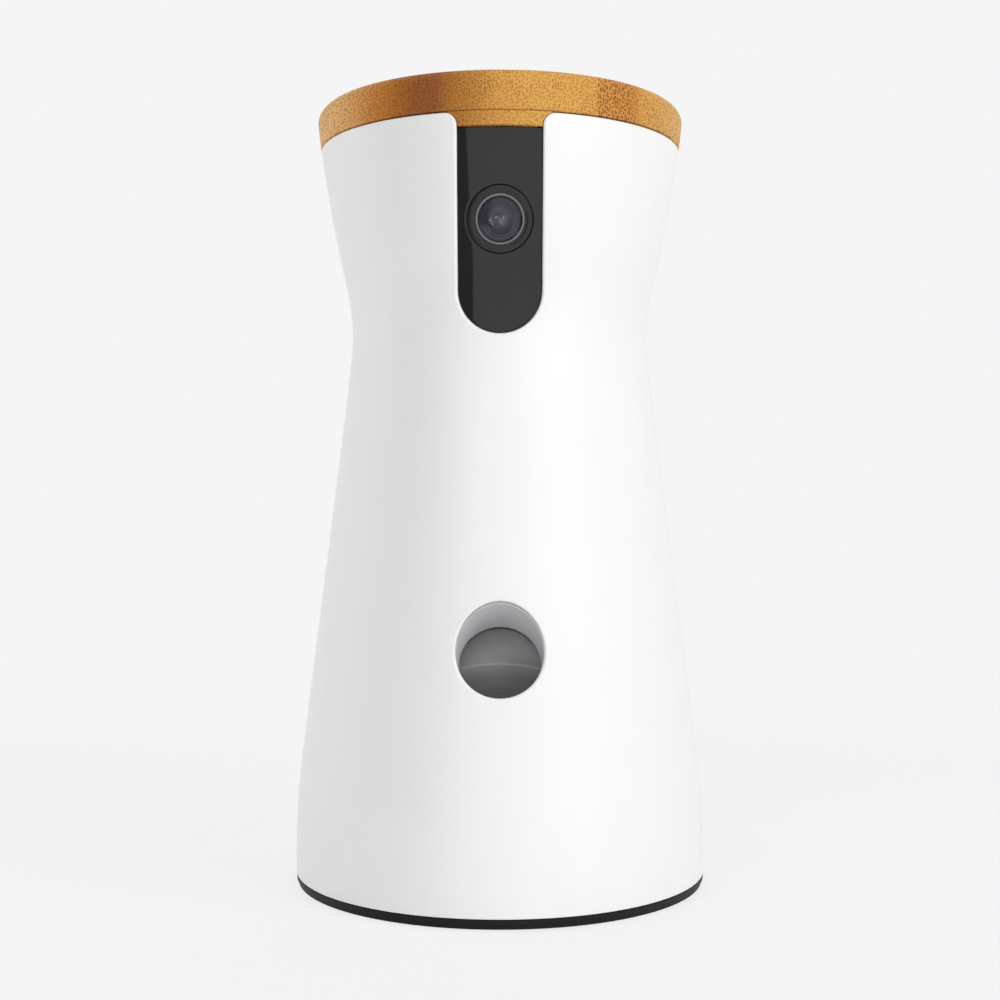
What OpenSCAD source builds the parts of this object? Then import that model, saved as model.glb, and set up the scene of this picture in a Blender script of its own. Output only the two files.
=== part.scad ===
// Treat tossing pet camera: an oval hourglass body with a lift-off bamboo lid, a camera behind a dark
// window, a treat hopper with a metering rotor, and a sprung paddle that throws treats out of the front.
// Millimetres. +Z is up, -Y is the front, and the origin is under the middle of the body's outer box.

/* [Body] */
// Height of the closed camera
total_h = 225.5; // [222:0.5:228]
// Half-width of the body at its foot
foot_half_w = 60.8; // [60:0.1:62]
// Depth of every oval section divided by its width
section_aspect = 1.20; // [1.19:0.01:1.22]
// How far the top leans forward of the foot
lean = 14.6; // [14:0.1:15]
// Thickness of the casing wall
wall = 2.6; // [2.4:0.1:2.8]
// Height of the casing's upper edge
rim_z = 214.5; // [214:0.1:215]

/* [Camera] */
// Half-width of the camera window
window_half_w = 11.3; // [11:0.1:11.6]
// Height of the window's rounded lower end
window_low_z = 157.9; // [157:0.1:159]
// Height of the lens axis
lens_z = 187.3; // [186.5:0.1:188]
// Radius of the recess around the lens
lens_recess_r = 8.8; // [8.7:0.1:9]

/* [Treat path] */
// Height where the launch tube's axis leaves the casing
tube_mouth_z = 73.5; // [73:0.1:74]
// Angle of the launch tube above the horizontal
tube_tilt = 25; // [24:0.5:26]
// Outer radius of the launch tube's sleeve, which shows inside the casing's hole
tube_mouth_r = 11.9; // [11.8:0.05:12]
// Bore radius of the launch tube at its inner end
tube_inner_r = 11.1; // [11:0.05:11.3]
// Radius of the hopper's mouth
hopper_mouth_r = 36; // [35.8:0.1:36.2]
// Number of pockets in the metering rotor
pocket_count = 6; // [6:1:6]
// Radius of the ring that the pockets lie on
pocket_ring_r = 22.5; // [22:0.1:22.8]

/* [Launcher] */
// Teeth on the paddle's gear
paddle_teeth = 18; // [18:1:18]
// Teeth that a full wheel of the sector gear's size would have
sector_teeth = 22; // [22:1:22]
// Gear module
gear_module = 1; // [1:0.1:1]
// Swing of the paddle from rest to cocked
paddle_swing = 65; // [60:1:65]

/* [Hidden] */
$fn = 64;

// Half-widths of the body at heights up its side, from the foot to the lid.
PROFILE = [[0, foot_half_w], [14, foot_half_w], [28, 60.1], [45, 58.1], [90, 52.05], [135, 46], [150, 44.1],
           [160, 43.2], [170, 43.95], [182, 46.4], [198, 49.5], [rim_z, 52.15], [225, 53.3]];
LEAN_FROM = 10;                 // the lean starts at this height
LEAN_TO = 200;                  // and is complete at this one
BODY_SIDES = 64;                // facets round the body
CASING_LEVELS = 20;             // facets up the casing
PLATE_SIDES = 96;               // facets of the flat oval plates
GAP = 0.3;                      // clearance between neighbouring shells

// ---- The body's surface ----

function smooth(t) = let (c = min(max(t, 0), 1)) c * c * (3 - 2 * c);
function rise(i) = (PROFILE[i + 1][1] - PROFILE[i][1]) / (PROFILE[i + 1][0] - PROFILE[i][0]);
function slope_at(i) =
    i == 0 ? rise(0) :
    i == len(PROFILE) - 1 ? rise(i - 1) :
    (rise(i - 1) + rise(i)) / 2;
function span_of(z, i = 0) = i >= len(PROFILE) - 2 || z < PROFILE[i + 1][0] ? i : span_of(z, i + 1);
function half_width(z) =
    let (i = span_of(z),
         h = PROFILE[i + 1][0] - PROFILE[i][0],
         t = (z - PROFILE[i][0]) / h)
    PROFILE[i][1] * (1 + 2 * t) * pow(1 - t, 2) + h * slope_at(i) * t * pow(1 - t, 2)
    + PROFILE[i + 1][1] * t * t * (3 - 2 * t) + h * slope_at(i + 1) * t * t * (t - 1);
function half_depth(z) = section_aspect * half_width(z);
// The frame is centred on the outer box: the lid's front and the foot's back are equally far from it.
LID_MID_Z = 219.75;             // a height about half way up the lid
FOOT_Y = (lean + half_depth(LID_MID_Z) - section_aspect * foot_half_w) / 2;
function centre_y(z) = FOOT_Y - lean * smooth((z - LEAN_FROM) / (LEAN_TO - LEAN_FROM));
function ring(z, inset, sides) =
    [for (i = [0 : sides - 1])
        let (a = 360 * i / sides)
        [(half_width(z) - inset) * sin(a), centre_y(z) - (half_depth(z) - inset) * cos(a), z]];
function front_y(x, z) = centre_y(z) - half_depth(z) * sqrt(1 - pow(x / half_width(z), 2));
function oval(a, b, y) = [for (i = [0 : PLATE_SIDES - 1])
    [a * sin(360 * i / PLATE_SIDES), y - b * cos(360 * i / PLATE_SIDES)]];

// An oval plate that follows the body's section at height z, set in by inset.
module body_plate(z, thickness, inset) {
    translate([0, 0, z])
        linear_extrude(thickness)
            polygon(oval(half_width(z) - inset, half_depth(z) - inset, centre_y(z)));
}

// A closed skin through a list of rings of the same number of points.
module ring_skin(rings) {
    n = len(rings[0]);
    m = len(rings);
    polyhedron(
        [for (r = rings) each r],
        [for (k = [0 : m - 2], i = [0 : n - 1])
            let (j = (i + 1) % n, a = k * n + i, b = k * n + j, c = a + n, d = b + n)
            each [[a, c, b], [b, c, d]],
         [for (i = [0 : n - 1]) i],
         [for (i = [n - 1 : -1 : 0]) (m - 1) * n + i]]);
}

// The casing's wall as one polyhedron: outer rings going up, inner rings coming down.
module casing_wall(low, high) {
    levels = [for (k = [0 : CASING_LEVELS]) low + (high - low) * k / CASING_LEVELS];
    rings = concat(
        [for (z = levels) ring(z, 0, BODY_SIDES)],
        [for (k = [CASING_LEVELS : -1 : 0]) ring(levels[k], wall, BODY_SIDES)]);
    n = BODY_SIDES;
    m = len(rings);
    polyhedron(
        [for (r = rings) each r],
        [for (k = [0 : m - 1], i = [0 : n - 1])
            let (j = (i + 1) % n, q = (k + 1) % m,
                 a = k * n + i, b = k * n + j, c = q * n + i, d = q * n + j)
            each [[a, c, b], [b, c, d]]]);
}

// A block whose front face lies inset behind the body's front surface. Negative thickness grows outward.
module front_block(half_w, low, high, inset, thickness, columns, rows) {
    front = min(inset, inset + thickness);
    back = max(inset, inset + thickness);
    xs = [for (i = [0 : columns]) -half_w + 2 * half_w * i / columns];
    zs = [for (k = [0 : rows]) low + (high - low) * k / rows];
    n = columns + 1;
    face = n * (rows + 1);
    grid = [for (z = zs, x = xs) [x, front_y(x, z), z]];
    rim = concat(
        [for (i = [0 : columns]) i],
        [for (k = [1 : rows]) k * n + columns],
        [for (i = [columns - 1 : -1 : 0]) rows * n + i],
        [for (k = [rows - 1 : -1 : 1]) k * n]);
    polyhedron(
        concat([for (p = grid) p + [0, front, 0]], [for (p = grid) p + [0, back, 0]]),
        concat(
            [for (k = [0 : rows - 1], i = [0 : columns - 1])
                let (a = k * n + i) each [[a, a + n, a + 1], [a + 1, a + n, a + n + 1]]],
            [for (k = [0 : rows - 1], i = [0 : columns - 1])
                let (a = face + k * n + i) each [[a, a + 1, a + n], [a + 1, a + n + 1, a + n]]],
            [for (s = [0 : len(rim) - 1])
                let (a = rim[s], b = rim[(s + 1) % len(rim)]) each [[a, b, a + face], [b, b + face, a + face]]]));
}

// ---- Small helpers ----

module along_x() { rotate([90, 0, 90]) children(); }   // local x, y, z become row y, z, x
module along_y() { rotate([90, 0, 0]) children(); }    // local z points to the front, -Y

module tube_z(r_out, r_in, low, high) {
    translate([0, 0, low])
        difference() {
            cylinder(r = r_out, h = high - low);
            translate([0, 0, -1]) cylinder(r = r_in, h = high - low + 2);
        }
}

// A pan-head screw standing on its head's underside, shank up.
module screw(head_r, head_h, shank_r, shank_l) {
    difference() {
        union() {
            translate([0, 0, -head_h]) cylinder(r = head_r, h = head_h, $fn = 32);
            cylinder(r = shank_r, h = shank_l, $fn = 24);
        }
        for (a = [0, 90])
            rotate(a)
                translate([-head_r * 0.6, -head_r * 0.14, -head_h - 1])
                    cube([head_r * 1.2, head_r * 0.28, 1 + head_h * 0.5]);
    }
}

// A tube swept along points that lie in planes square to the start direction given by up.
function unit(v) = v / norm(v);
function tangent(path, i) = unit(path[min(i + 1, len(path) - 1)] - path[max(i - 1, 0)]);
function section(path, i, up, half_a, half_b, sides) =
    let (t = tangent(path, i), u = unit(cross(up, t)), v = cross(t, u))
    [for (k = [0 : sides - 1])
        let (a = 360 * (k + 0.5) / sides)
        path[i] + half_a * cos(a) * u + half_b * sin(a) * v];
module swept(path, up, half_a, half_b, sides) {
    ring_skin([for (i = [len(path) - 1 : -1 : 0]) section(path, i, up, half_a, half_b, sides)]);
}
// Points along a smooth curve through the given ones.
function blend(p0, p1, p2, p3, t) =
    0.5 * (2 * p1 + (p2 - p0) * t + (2 * p0 - 5 * p1 + 4 * p2 - p3) * t * t
           + (3 * p1 - p0 - 3 * p2 + p3) * pow(t, 3));
function smooth_path(p, steps) =
    let (n = len(p) - 1)
    concat([for (i = [0 : n - 1], s = [0 : steps - 1])
               blend(p[max(i - 1, 0)], p[i], p[i + 1], p[min(i + 2, n)], s / steps)],
           [p[n]]);

// ---- Gears ----

PRESSURE = 20;
ADDENDUM = 0.9;
DEDENDUM = 1.25;
BACKLASH = 0.22;   // total play at the pitch circle, split between the two flanks
FLANK_POINTS = 5;
function involute(angle) = tan(angle) * 180 / PI - angle;
function flank_angle(r, teeth) =
    let (rp = gear_module * teeth / 2, rb = rp * cos(PRESSURE))
    90 / teeth - BACKLASH / rp * 45 / PI + involute(PRESSURE) - involute(acos(min(1, rb / r)));
function tooth_points(teeth, turn) =
    let (rp = gear_module * teeth / 2, rb = rp * cos(PRESSURE),
         low = rp - DEDENDUM * gear_module, high = rp + ADDENDUM * gear_module,
         start = max(rb, low),
         radii = [for (k = [0 : FLANK_POINTS]) start + (high - start) * k / FLANK_POINTS])
    concat(
        [[low, turn - flank_angle(start, teeth)]],
        [for (r = radii) [r, turn - flank_angle(r, teeth)]],
        [for (k = [FLANK_POINTS : -1 : 0]) [radii[k], turn + flank_angle(radii[k], teeth)]],
        [[low, turn + flank_angle(start, teeth)]]);
function polar(p) = [p[0] * cos(p[1]), p[0] * sin(p[1])];
// Teeth number from 0 at angle start, one every 360 / teeth degrees. The rest of the rim is plain.
function gear_outline(teeth, start, count, plain_r) =
    let (pitch = 360 / teeth, last = start + (count - 1) * pitch)
    concat(
        [for (k = [0 : count - 1]) each [for (p = tooth_points(teeth, start + k * pitch)) polar(p)]],
        count == teeth ? [] :
        [for (a = [last + pitch * 0.75 : 9 : start + 360 - pitch * 0.75]) polar([plain_r, a])]);

// ---- Places of the mechanism ----

HOPPER_Y = FOOT_Y - 4;
FLOOR_Z = 110;                       // underside of the metering housing
HOUSING_TOP_Z = 124.4;
HOPPER_FLOOR_Z = 124.6;
DECK_Z = 207.4;                      // underside of the hopper's oval deck
CHUTE_Y = HOPPER_Y - 25;
CHUTE_LOW_Z = 83;
TUBE_MOUTH = [front_y(0, tube_mouth_z), tube_mouth_z];
TUBE_OUT = [-cos(tube_tilt), sin(tube_tilt)];   // the throwing direction, in Y and Z
TUBE_LENGTH = 12;
PADDLE_FACE = TUBE_MOUTH - (TUBE_LENGTH + 0.6) * TUBE_OUT;
PADDLE_PIVOT = PADDLE_FACE - [-8.5, 24];
GEAR_LINE = -32;                     // direction from the paddle's pivot to the sector gear
GEAR_GAP = gear_module * (paddle_teeth + sector_teeth) / 2;
SECTOR_CENTRE = PADDLE_PIVOT + GEAR_GAP * [cos(GEAR_LINE), sin(GEAR_LINE)];
PLATE_IN_X = 16;                     // inner faces of the launcher frame's side plates
PLATE_T = 2.5;
BOARD_Z = 14;
BOARD_T = 1.6;
SWITCH_X = 22;
SWITCH_Y = 30;
SPEAKER_Z = 52;
SPEAKER_TILT = 13.5;
SPEAKER_R = 18;
SPEAKER_Y = 59.6;
INLET_Z = 17;
BOSS_SPOTS = [[43, FOOT_Y - 40.5], [-43, FOOT_Y - 40.5], [43, FOOT_Y + 40.5], [-43, FOOT_Y + 40.5]];
DECK_SPOTS = [[38.5, -36], [-38.5, -36], [38, 17], [-38, 17]];
EAR_ANGLES = [30, 150, 210, 330];
FRAME_FEET = [[23.5, -50], [-23.5, -50], [23.5, -20], [-23.5, -20]];
BOARD_FEET = [[31, -1], [-31, -1], [31, 42], [-31, 42]];

module at_tube() {
    translate([0, TUBE_MOUTH[0], TUBE_MOUTH[1]]) rotate([90 - tube_tilt, 0, 0]) children();
}

module at_speaker() {
    translate([0, SPEAKER_Y, SPEAKER_Z]) rotate([-90 + SPEAKER_TILT, 0, 0]) children();
}

// ---- Casing ----

// The notch's outline: straight sides, a round lower end, and rounded shoulders where it meets the rim.
module notch_outline(grow, shoulder_r) {
    half_w = window_half_w + grow;
    low = window_low_z + window_half_w;
    union() {
        translate([-half_w, low]) square([2 * half_w, rim_z - low + 6]);
        translate([0, low]) circle(r = half_w);
        for (s = [-1, 1])
            difference() {
                translate([s * (half_w + shoulder_r / 2), rim_z + 1 - shoulder_r / 2])
                    square([shoulder_r + 0.02, shoulder_r + 2], center = true);
                translate([s * (half_w + shoulder_r), rim_z - shoulder_r]) circle(r = shoulder_r);
            }
    }
}

module front_prism(deep) {
    translate([0, -deep, 0])
        rotate([90, 0, 0])
            linear_extrude(50) children();
}

module screw_boss(x, y, low, high, r) {
    difference() {
        translate([x, y, low]) cylinder(r = r, h = high - low, $fn = 32);
        translate([x, y, low - 1]) cylinder(r = 1.25, h = high - low - 1, $fn = 24);
    }
}

module outer_casing() {
    color("white")
        union() {
            difference() {
                casing_wall(3.1, rim_z);
                front_prism(40) notch_outline(0.15, 3.4);
                at_tube() translate([0, 0, -14]) cylinder(r = tube_mouth_r + 0.1, h = 30);
                translate([-6, 60, INLET_Z - 4]) cube([12, 20, 8]);
                for (r = [0 : 2], k = [0 : max(0, 6 * r - 1)])
                    translate([5 * r * cos(60 * k / max(r, 1)), 40, SPEAKER_Z + 5 * r * sin(60 * k / max(r, 1))])
                        rotate([-90, 0, 0]) cylinder(r = 1, h = 50, $fn = 16);
                translate([0, 40, SPEAKER_Z + 20]) rotate([-90, 0, 0]) cylinder(r = 0.7, h = 50, $fn = 16);
            }
            for (p = BOSS_SPOTS) screw_boss(p[0], p[1], 6, 22, 4.6);
            for (p = DECK_SPOTS) deck_boss(p[0], p[1]);
        }
}

// A boss near the rim that the hopper's deck is screwed to, cut off where it meets the wall.
module deck_boss(x, y) {
    intersection() {
        translate([0, 0, 195])
            difference() {
                hull() {
                    translate([x, y, 0]) cylinder(r = 3.2, h = DECK_Z - 0.1 - 195, $fn = 32);
                    translate([x * 1.12, HOPPER_Y + (y - HOPPER_Y) * 1.12, 0])
                        cylinder(r = 3.2, h = DECK_Z - 0.1 - 195, $fn = 32);
                }
                translate([x, y, 4]) cylinder(r = 1.05, h = 20, $fn = 24);
            }
        translate([0, 0, 190])
            linear_extrude(20)
                polygon(oval(half_width(195) - wall / 2, half_depth(195) - wall / 2, centre_y(195)));
    }
}

// ---- Camera ----

WINDOW_INSET = 0.9;
WINDOW_T = 2.2;
LENS_FRONT_Y = front_y(0, lens_z) + 2.4;

module at_lens() { translate([0, LENS_FRONT_Y, lens_z]) rotate([90, 0, 0]) children(); }

module camera_window() {
    color([0.24, 0.24, 0.25])
        difference() {
            intersection() {
                front_block(window_half_w + 2, window_low_z - 1, 210.4, WINDOW_INSET, WINDOW_T, 12, 14);
                front_prism(40) notch_outline(-0.1, 0.01);
            }
            at_lens() translate([0, 0, -30]) cylinder(r = lens_recess_r, h = 60);
        }
}

module lens_bezel() {
    color([0.14, 0.14, 0.15])
        at_lens()
            rotate_extrude()
                polygon([[6.5, -1.2], [6.5, -6], [8.6, -6], [8.6, -0.5], [8.2, 0], [7.2, -0.6]]);
}

module lens_trim_ring() {
    color([0.5, 0.5, 0.52])
        at_lens()
            rotate_extrude()
                polygon([[5.75, -0.9], [5.75, -2.4], [6.4, -2.4], [6.4, -0.5], [6.1, -0.3]]);
}

module lens_glass() {
    dome = [for (k = [0 : 6]) let (x = 5.65 * k / 6) [x, sqrt(400 - x * x) - 20.6]];
    color([0.18, 0.18, 0.24, 0.8])
        at_lens() rotate_extrude() polygon(concat([[0, -2.4]], dome, [[5.65, -2.4]]));
}

module lens_barrel() {
    color([0.1, 0.1, 0.1])
        at_lens()
            rotate_extrude()
                polygon([[3.2, -3], [3.2, -14], [8.2, -14], [8.2, -11.5], [6.3, -11.5], [6.3, -3]]);
}

module camera_board() {
    color("darkgreen")
        difference() {
            translate([-11.4, LENS_FRONT_Y + 14.1, lens_z - 14]) cube([22.8, 1.2, 30]);
            for (x = [-9.5, 9.5], z = [-11.5, 13.5])
                translate([x, LENS_FRONT_Y + 20, lens_z + z]) along_y() cylinder(r = 1.1, h = 10, $fn = 24);
        }
}

module camera_bracket() {
    color([0.2, 0.2, 0.2])
        difference() {
            union() {
                translate([-13.5, LENS_FRONT_Y + 15.5, lens_z - 15.5]) cube([27, 2, 33]);
                for (s = [-1, 1])
                    translate([s * 12.6 - 0.9, LENS_FRONT_Y + 8.5, lens_z - 15.5]) cube([1.8, 7, 33]);
            }
            translate([-7, LENS_FRONT_Y, lens_z - 8]) cube([14, 30, 18]);
        }
}

module infrared_leds() {
    color([0.55, 0.5, 0.6])
        for (x = [-8, 8], z = [-10, 11])
            translate([x, LENS_FRONT_Y + 14, lens_z + z]) along_y() {
                cylinder(r = 1.6, h = 3.4, $fn = 32);
                translate([0, 0, 3.4]) sphere(r = 1.6, $fn = 32);
            }
}

module microphone() {
    color("silver")
        translate([-2, centre_y(72) + half_depth(72) - wall - 3.2, SPEAKER_Z + 18.5]) cube([4, 2, 3]);
}

// ---- Hopper and metering ----

module hopper() {
    color([0.86, 0.87, 0.88])
        difference() {
            union() {
                body_plate(DECK_Z, 2, wall + 0.7);
                translate([0, HOPPER_Y, 0])
                    rotate_extrude()
                        polygon([[0, HOPPER_FLOOR_Z], [34.4, HOPPER_FLOOR_Z], [34.4, 140], [35, 162],
                                 [38, 197], [38, DECK_Z + 1], [0, DECK_Z + 1]]);
                for (a = EAR_ANGLES)
                    translate([0, HOPPER_Y, HOPPER_FLOOR_Z]) ear(a);
            }
            translate([0, HOPPER_Y, 0])
                rotate_extrude()
                    polygon([[0, HOPPER_FLOOR_Z + 2.4], [32.2, HOPPER_FLOOR_Z + 2.4], [32.4, 140], [33, 162],
                             [hopper_mouth_r, 197], [hopper_mouth_r, 220], [0, 220]]);
            translate([0, HOPPER_Y, HOPPER_FLOOR_Z - 1]) cylinder(r = 8.7, h = 5);
            // the opening over the back pockets
            intersection() {
                translate([0, HOPPER_Y, 0]) tube_z(31.6, 11, HOPPER_FLOOR_Z - 1, HOPPER_FLOOR_Z + 4);
                translate([-40, HOPPER_Y - 8, HOPPER_FLOOR_Z - 2]) cube([80, 60, 8]);
            }
            // room for the top of the camera window
            translate([-13.5, -90, DECK_Z - 1]) cube([27, 90 + front_y(0, 208) + 5, 4]);
            for (p = DECK_SPOTS) translate([p[0], p[1], DECK_Z - 1]) cylinder(r = 1.6, h = 4, $fn = 24);
        }
}

module ear(a) {
    difference() {
        hull() {
            rotate(a) translate([33, 0, 0]) cylinder(r = 4, h = 2.4, $fn = 32);
            rotate(a) translate([38, 0, 0]) cylinder(r = 3.2, h = 2.4, $fn = 32);
        }
        rotate(a) translate([38, 0, -1]) cylinder(r = 1.5, h = 5, $fn = 24);
    }
}

module hopper_screws() {
    color("silver")
        for (p = DECK_SPOTS)
            translate([p[0], p[1], DECK_Z + 2.1]) rotate([180, 0, 0]) screw(2.8, 1, 1, 7.5);
}

module metering_housing() {
    color([0.8, 0.81, 0.82])
        translate([0, HOPPER_Y, 0])
            difference() {
                union() {
                    translate([0, 0, FLOOR_Z]) cylinder(r = 34.4, h = HOUSING_TOP_Z - FLOOR_Z);
                    for (a = EAR_ANGLES)
                        translate([0, 0, HOUSING_TOP_Z - 2.4]) ear(a);
                }
                translate([0, 0, FLOOR_Z + 3]) cylinder(r = 32.6, h = 30);
                translate([0, 0, FLOOR_Z - 1]) cylinder(r = 4.2, h = 8);
                translate([0, -pocket_ring_r, FLOOR_Z - 1]) cylinder(r = 9, h = 8);
                for (x = [-4.5, 4.5]) translate([x * 1.35, 0, FLOOR_Z - 1]) cylinder(r = 0.9, h = 8, $fn = 24);
                for (s = [-1, 1], y = [-17, -33])
                    translate([s * 12.5, y, FLOOR_Z - 1]) cylinder(r = 0.9, h = 3, $fn = 24);
            }
}

module housing_screws() {
    color("silver")
        for (a = EAR_ANGLES)
            translate([0, HOPPER_Y, HOUSING_TOP_Z - 2.5]) rotate(a) translate([38, 0, 0]) screw(2.6, 1.6, 1.35, 6.5);
}

module gearmotor_box() { translate([-6, -5, -9.1]) cube([12, 10, 9]); }
module gearmotor_can() {
    intersection() {
        translate([-6, -5, -24.2]) cube([12, 10, 15]);
        translate([0, 0, -30]) cylinder(r = 6.6, h = 30);
    }
}

module rotor_gearbox() { color("darkgoldenrod") translate([0, HOPPER_Y, FLOOR_Z]) gearmotor_box(); }
module rotor_motor() { color("silver") translate([0, HOPPER_Y, FLOOR_Z]) gearmotor_can(); }

module rotor_shaft() {
    color("silver") translate([0, HOPPER_Y, FLOOR_Z + 0.2]) cylinder(r = 1.5, h = 12, $fn = 32);
}

// A star wheel: vanes on a hub, with a blunt cone above that stirs the treats.
module metering_rotor() {
    color([0.93, 0.6, 0.2])
        translate([0, HOPPER_Y, 0])
            difference() {
                union() {
                    translate([0, 0, FLOOR_Z + 3.3]) cylinder(r = 9, h = 10.7);
                    translate([0, 0, HOUSING_TOP_Z - 0.5]) cylinder(r = 8.2, h = 4.1);
                    translate([0, 0, HOUSING_TOP_Z + 3.6]) cylinder(r1 = 8.2, r2 = 3, h = 12);
                    for (k = [0 : pocket_count - 1])
                        rotate(360 * (k + 0.5) / pocket_count)
                            translate([-2.2, -32.2, FLOOR_Z + 3.3]) cube([4.4, 25, 10.7]);
                }
                translate([0, 0, FLOOR_Z]) cylinder(r = 1.55, h = 13, $fn = 32);
            }
}

module drop_chute() {
    color([0.8, 0.81, 0.82])
        difference() {
            union() {
                translate([0, CHUTE_Y, CHUTE_LOW_Z]) cylinder(r = 12, h = FLOOR_Z - 0.1 - CHUTE_LOW_Z);
                translate([-15.5, CHUTE_Y - 13, FLOOR_Z - 2.1]) cube([31, 25, 2]);
            }
            translate([0, CHUTE_Y, CHUTE_LOW_Z - 1]) cylinder(r = 10.5, h = 40);
            for (s = [-1, 1], y = [-17, -33])
                translate([s * 12.5, HOPPER_Y + y, FLOOR_Z - 4]) cylinder(r = 1.1, h = 8, $fn = 24);
        }
}

// ---- Launcher ----

module launch_tube() {
    color([0.62, 0.62, 0.64])
        difference() {
            at_tube()
                rotate_extrude()
                    polygon([[tube_inner_r, -TUBE_LENGTH], [13.2, -TUBE_LENGTH], [13.2, -10.6], [14.6, -10.6],
                             [14.6, -9.2], [tube_mouth_r, -9.2], [tube_mouth_r, 9],
                             [tube_mouth_r - 0.4, 9], [tube_mouth_r - 0.4, 2]]);
            // the sleeve ends just behind the casing's surface
            front_block(20, 52, 98, 0.6, -20, 12, 12);
        }
}

module frame_side(s) {
    translate([s > 0 ? PLATE_IN_X : -PLATE_IN_X - PLATE_T, 0, 0])
        along_x()
            linear_extrude(PLATE_T)
                polygon([[-56, 6], [-56, 52], [-51, 62], [-40, 74], [-22, 76], [-12, 60], [-12, 6]]);
}

module launcher_frame() {
    color([0.75, 0.76, 0.78])
        difference() {
            union() {
                frame_side(-1);
                frame_side(1);
                translate([-PLATE_IN_X - 1, -56, 6]) cube([2 * PLATE_IN_X + 2, 44, 2.5]);
                for (p = FRAME_FEET) translate([p[0], p[1], 6]) cylinder(r = 5, h = 2.5, $fn = 32);
                for (p = FRAME_FEET)
                    translate([p[0] > 0 ? PLATE_IN_X + 1 : p[0], p[1] - 4, 6])
                        cube([abs(p[0]) - PLATE_IN_X - 1, 8, 2.5]);
                translate([-PLATE_IN_X - 1, -16, 50]) cube([2 * PLATE_IN_X + 2, 2.5, 12]);
            }
            translate([-30, PADDLE_PIVOT[0], PADDLE_PIVOT[1]]) along_x() cylinder(r = 2, h = 60, $fn = 32);
            translate([0, SECTOR_CENTRE[0], SECTOR_CENTRE[1]]) along_x() cylinder(r = 3.4, h = 60, $fn = 32);
            for (p = FRAME_FEET) translate([p[0], p[1], 4]) cylinder(r = 1.7, h = 8, $fn = 24);
        }
}

module frame_screws() {
    color("silver")
        for (p = FRAME_FEET)
            translate([p[0], p[1], 8.6]) rotate([180, 0, 0]) screw(2.9, 1.6, 1.4, 4);
}

module paddle_axle() {
    color("silver")
        translate([-PLATE_IN_X - PLATE_T - 2.5, PADDLE_PIVOT[0], PADDLE_PIVOT[1]])
            along_x() cylinder(r = 1.95, h = 2 * (PLATE_IN_X + PLATE_T + 2.5), $fn = 48);
}

module axle_clips() {
    color("dimgray")
        for (s = [-1, 1])
            translate([s * (PLATE_IN_X + PLATE_T + 1), PADDLE_PIVOT[0], PADDLE_PIVOT[1]])
                along_x()
                    translate([0, 0, -0.4])
                        difference() {
                            cylinder(r = 3.6, h = 0.8);
                            translate([0, 0, -1]) cylinder(r = 2, h = 3);
                            translate([-0.8, 0, -1]) cube([1.6, 6, 3]);
                        }
}

module at_sector(x) {
    translate([x, SECTOR_CENTRE[0], SECTOR_CENTRE[1]]) along_x() children();
}

module launcher_gearbox() {
    color("darkgoldenrod") at_sector(PLATE_IN_X + PLATE_T) rotate([180, 0, 0]) gearmotor_box();
}
module launcher_motor() {
    color("silver") at_sector(PLATE_IN_X + PLATE_T) rotate([180, 0, 0]) gearmotor_can();
}
module sector_shaft() {
    color("silver") at_sector(5) cylinder(r = 1.5, h = PLATE_IN_X + PLATE_T - 5, $fn = 32);
}

GEAR_X = 5.7;
GEAR_W = 4.6;
module sector_gear() {
    color([0.95, 0.95, 0.9])
        at_sector(GEAR_X)
            difference() {
                union() {
                    // the leading tooth stands on the line of centres at rest, and four more follow it
                    linear_extrude(GEAR_W)
                        polygon(gear_outline(sector_teeth, GEAR_LINE + 180 - 4 * 360 / sector_teeth, 6, 9.5));
                    translate([0, 0, GEAR_W - 0.1]) cylinder(r = 4, h = 3);
                }
                translate([0, 0, -1]) cylinder(r = 1.55, h = 20, $fn = 32);
            }
}

module at_paddle() {
    translate([0, PADDLE_FACE[0], PADDLE_FACE[1]]) rotate([90 - tube_tilt, 0, 0]) children();
}

CUP_R = 12;
CUP_T = 4.6;
CREST_R = 42;    // the crest across the cup is an arc of this radius
CREST_UP = 0.8;  // its middle is this far above the cup's centre
// The cup's face from below to above: a slope up to the crest, then a scoop that holds the treat.
CUP_FACE = [[-13, -3.3], [-8, -3.2], [-3.5, -2.4], [-0.6, -0.9], [0.4, -0.25], [0.8, -0.15], [1.2, -0.35],
            [2.2, -1.5], [4, -2.7], [6.5, -3.3], [9.5, -3], [13, -1.8]];
module cup_hollow() {
    translate([0, CREST_UP - CREST_R, 0])
        rotate_extrude($fn = 128)
            polygon(concat([[CREST_R - CREST_UP - 13, 2]],
                           [for (p = CUP_FACE) [CREST_R - CREST_UP + p[0], p[1]]],
                           [[CREST_R - CREST_UP + 13, 2]]));
}

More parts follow.
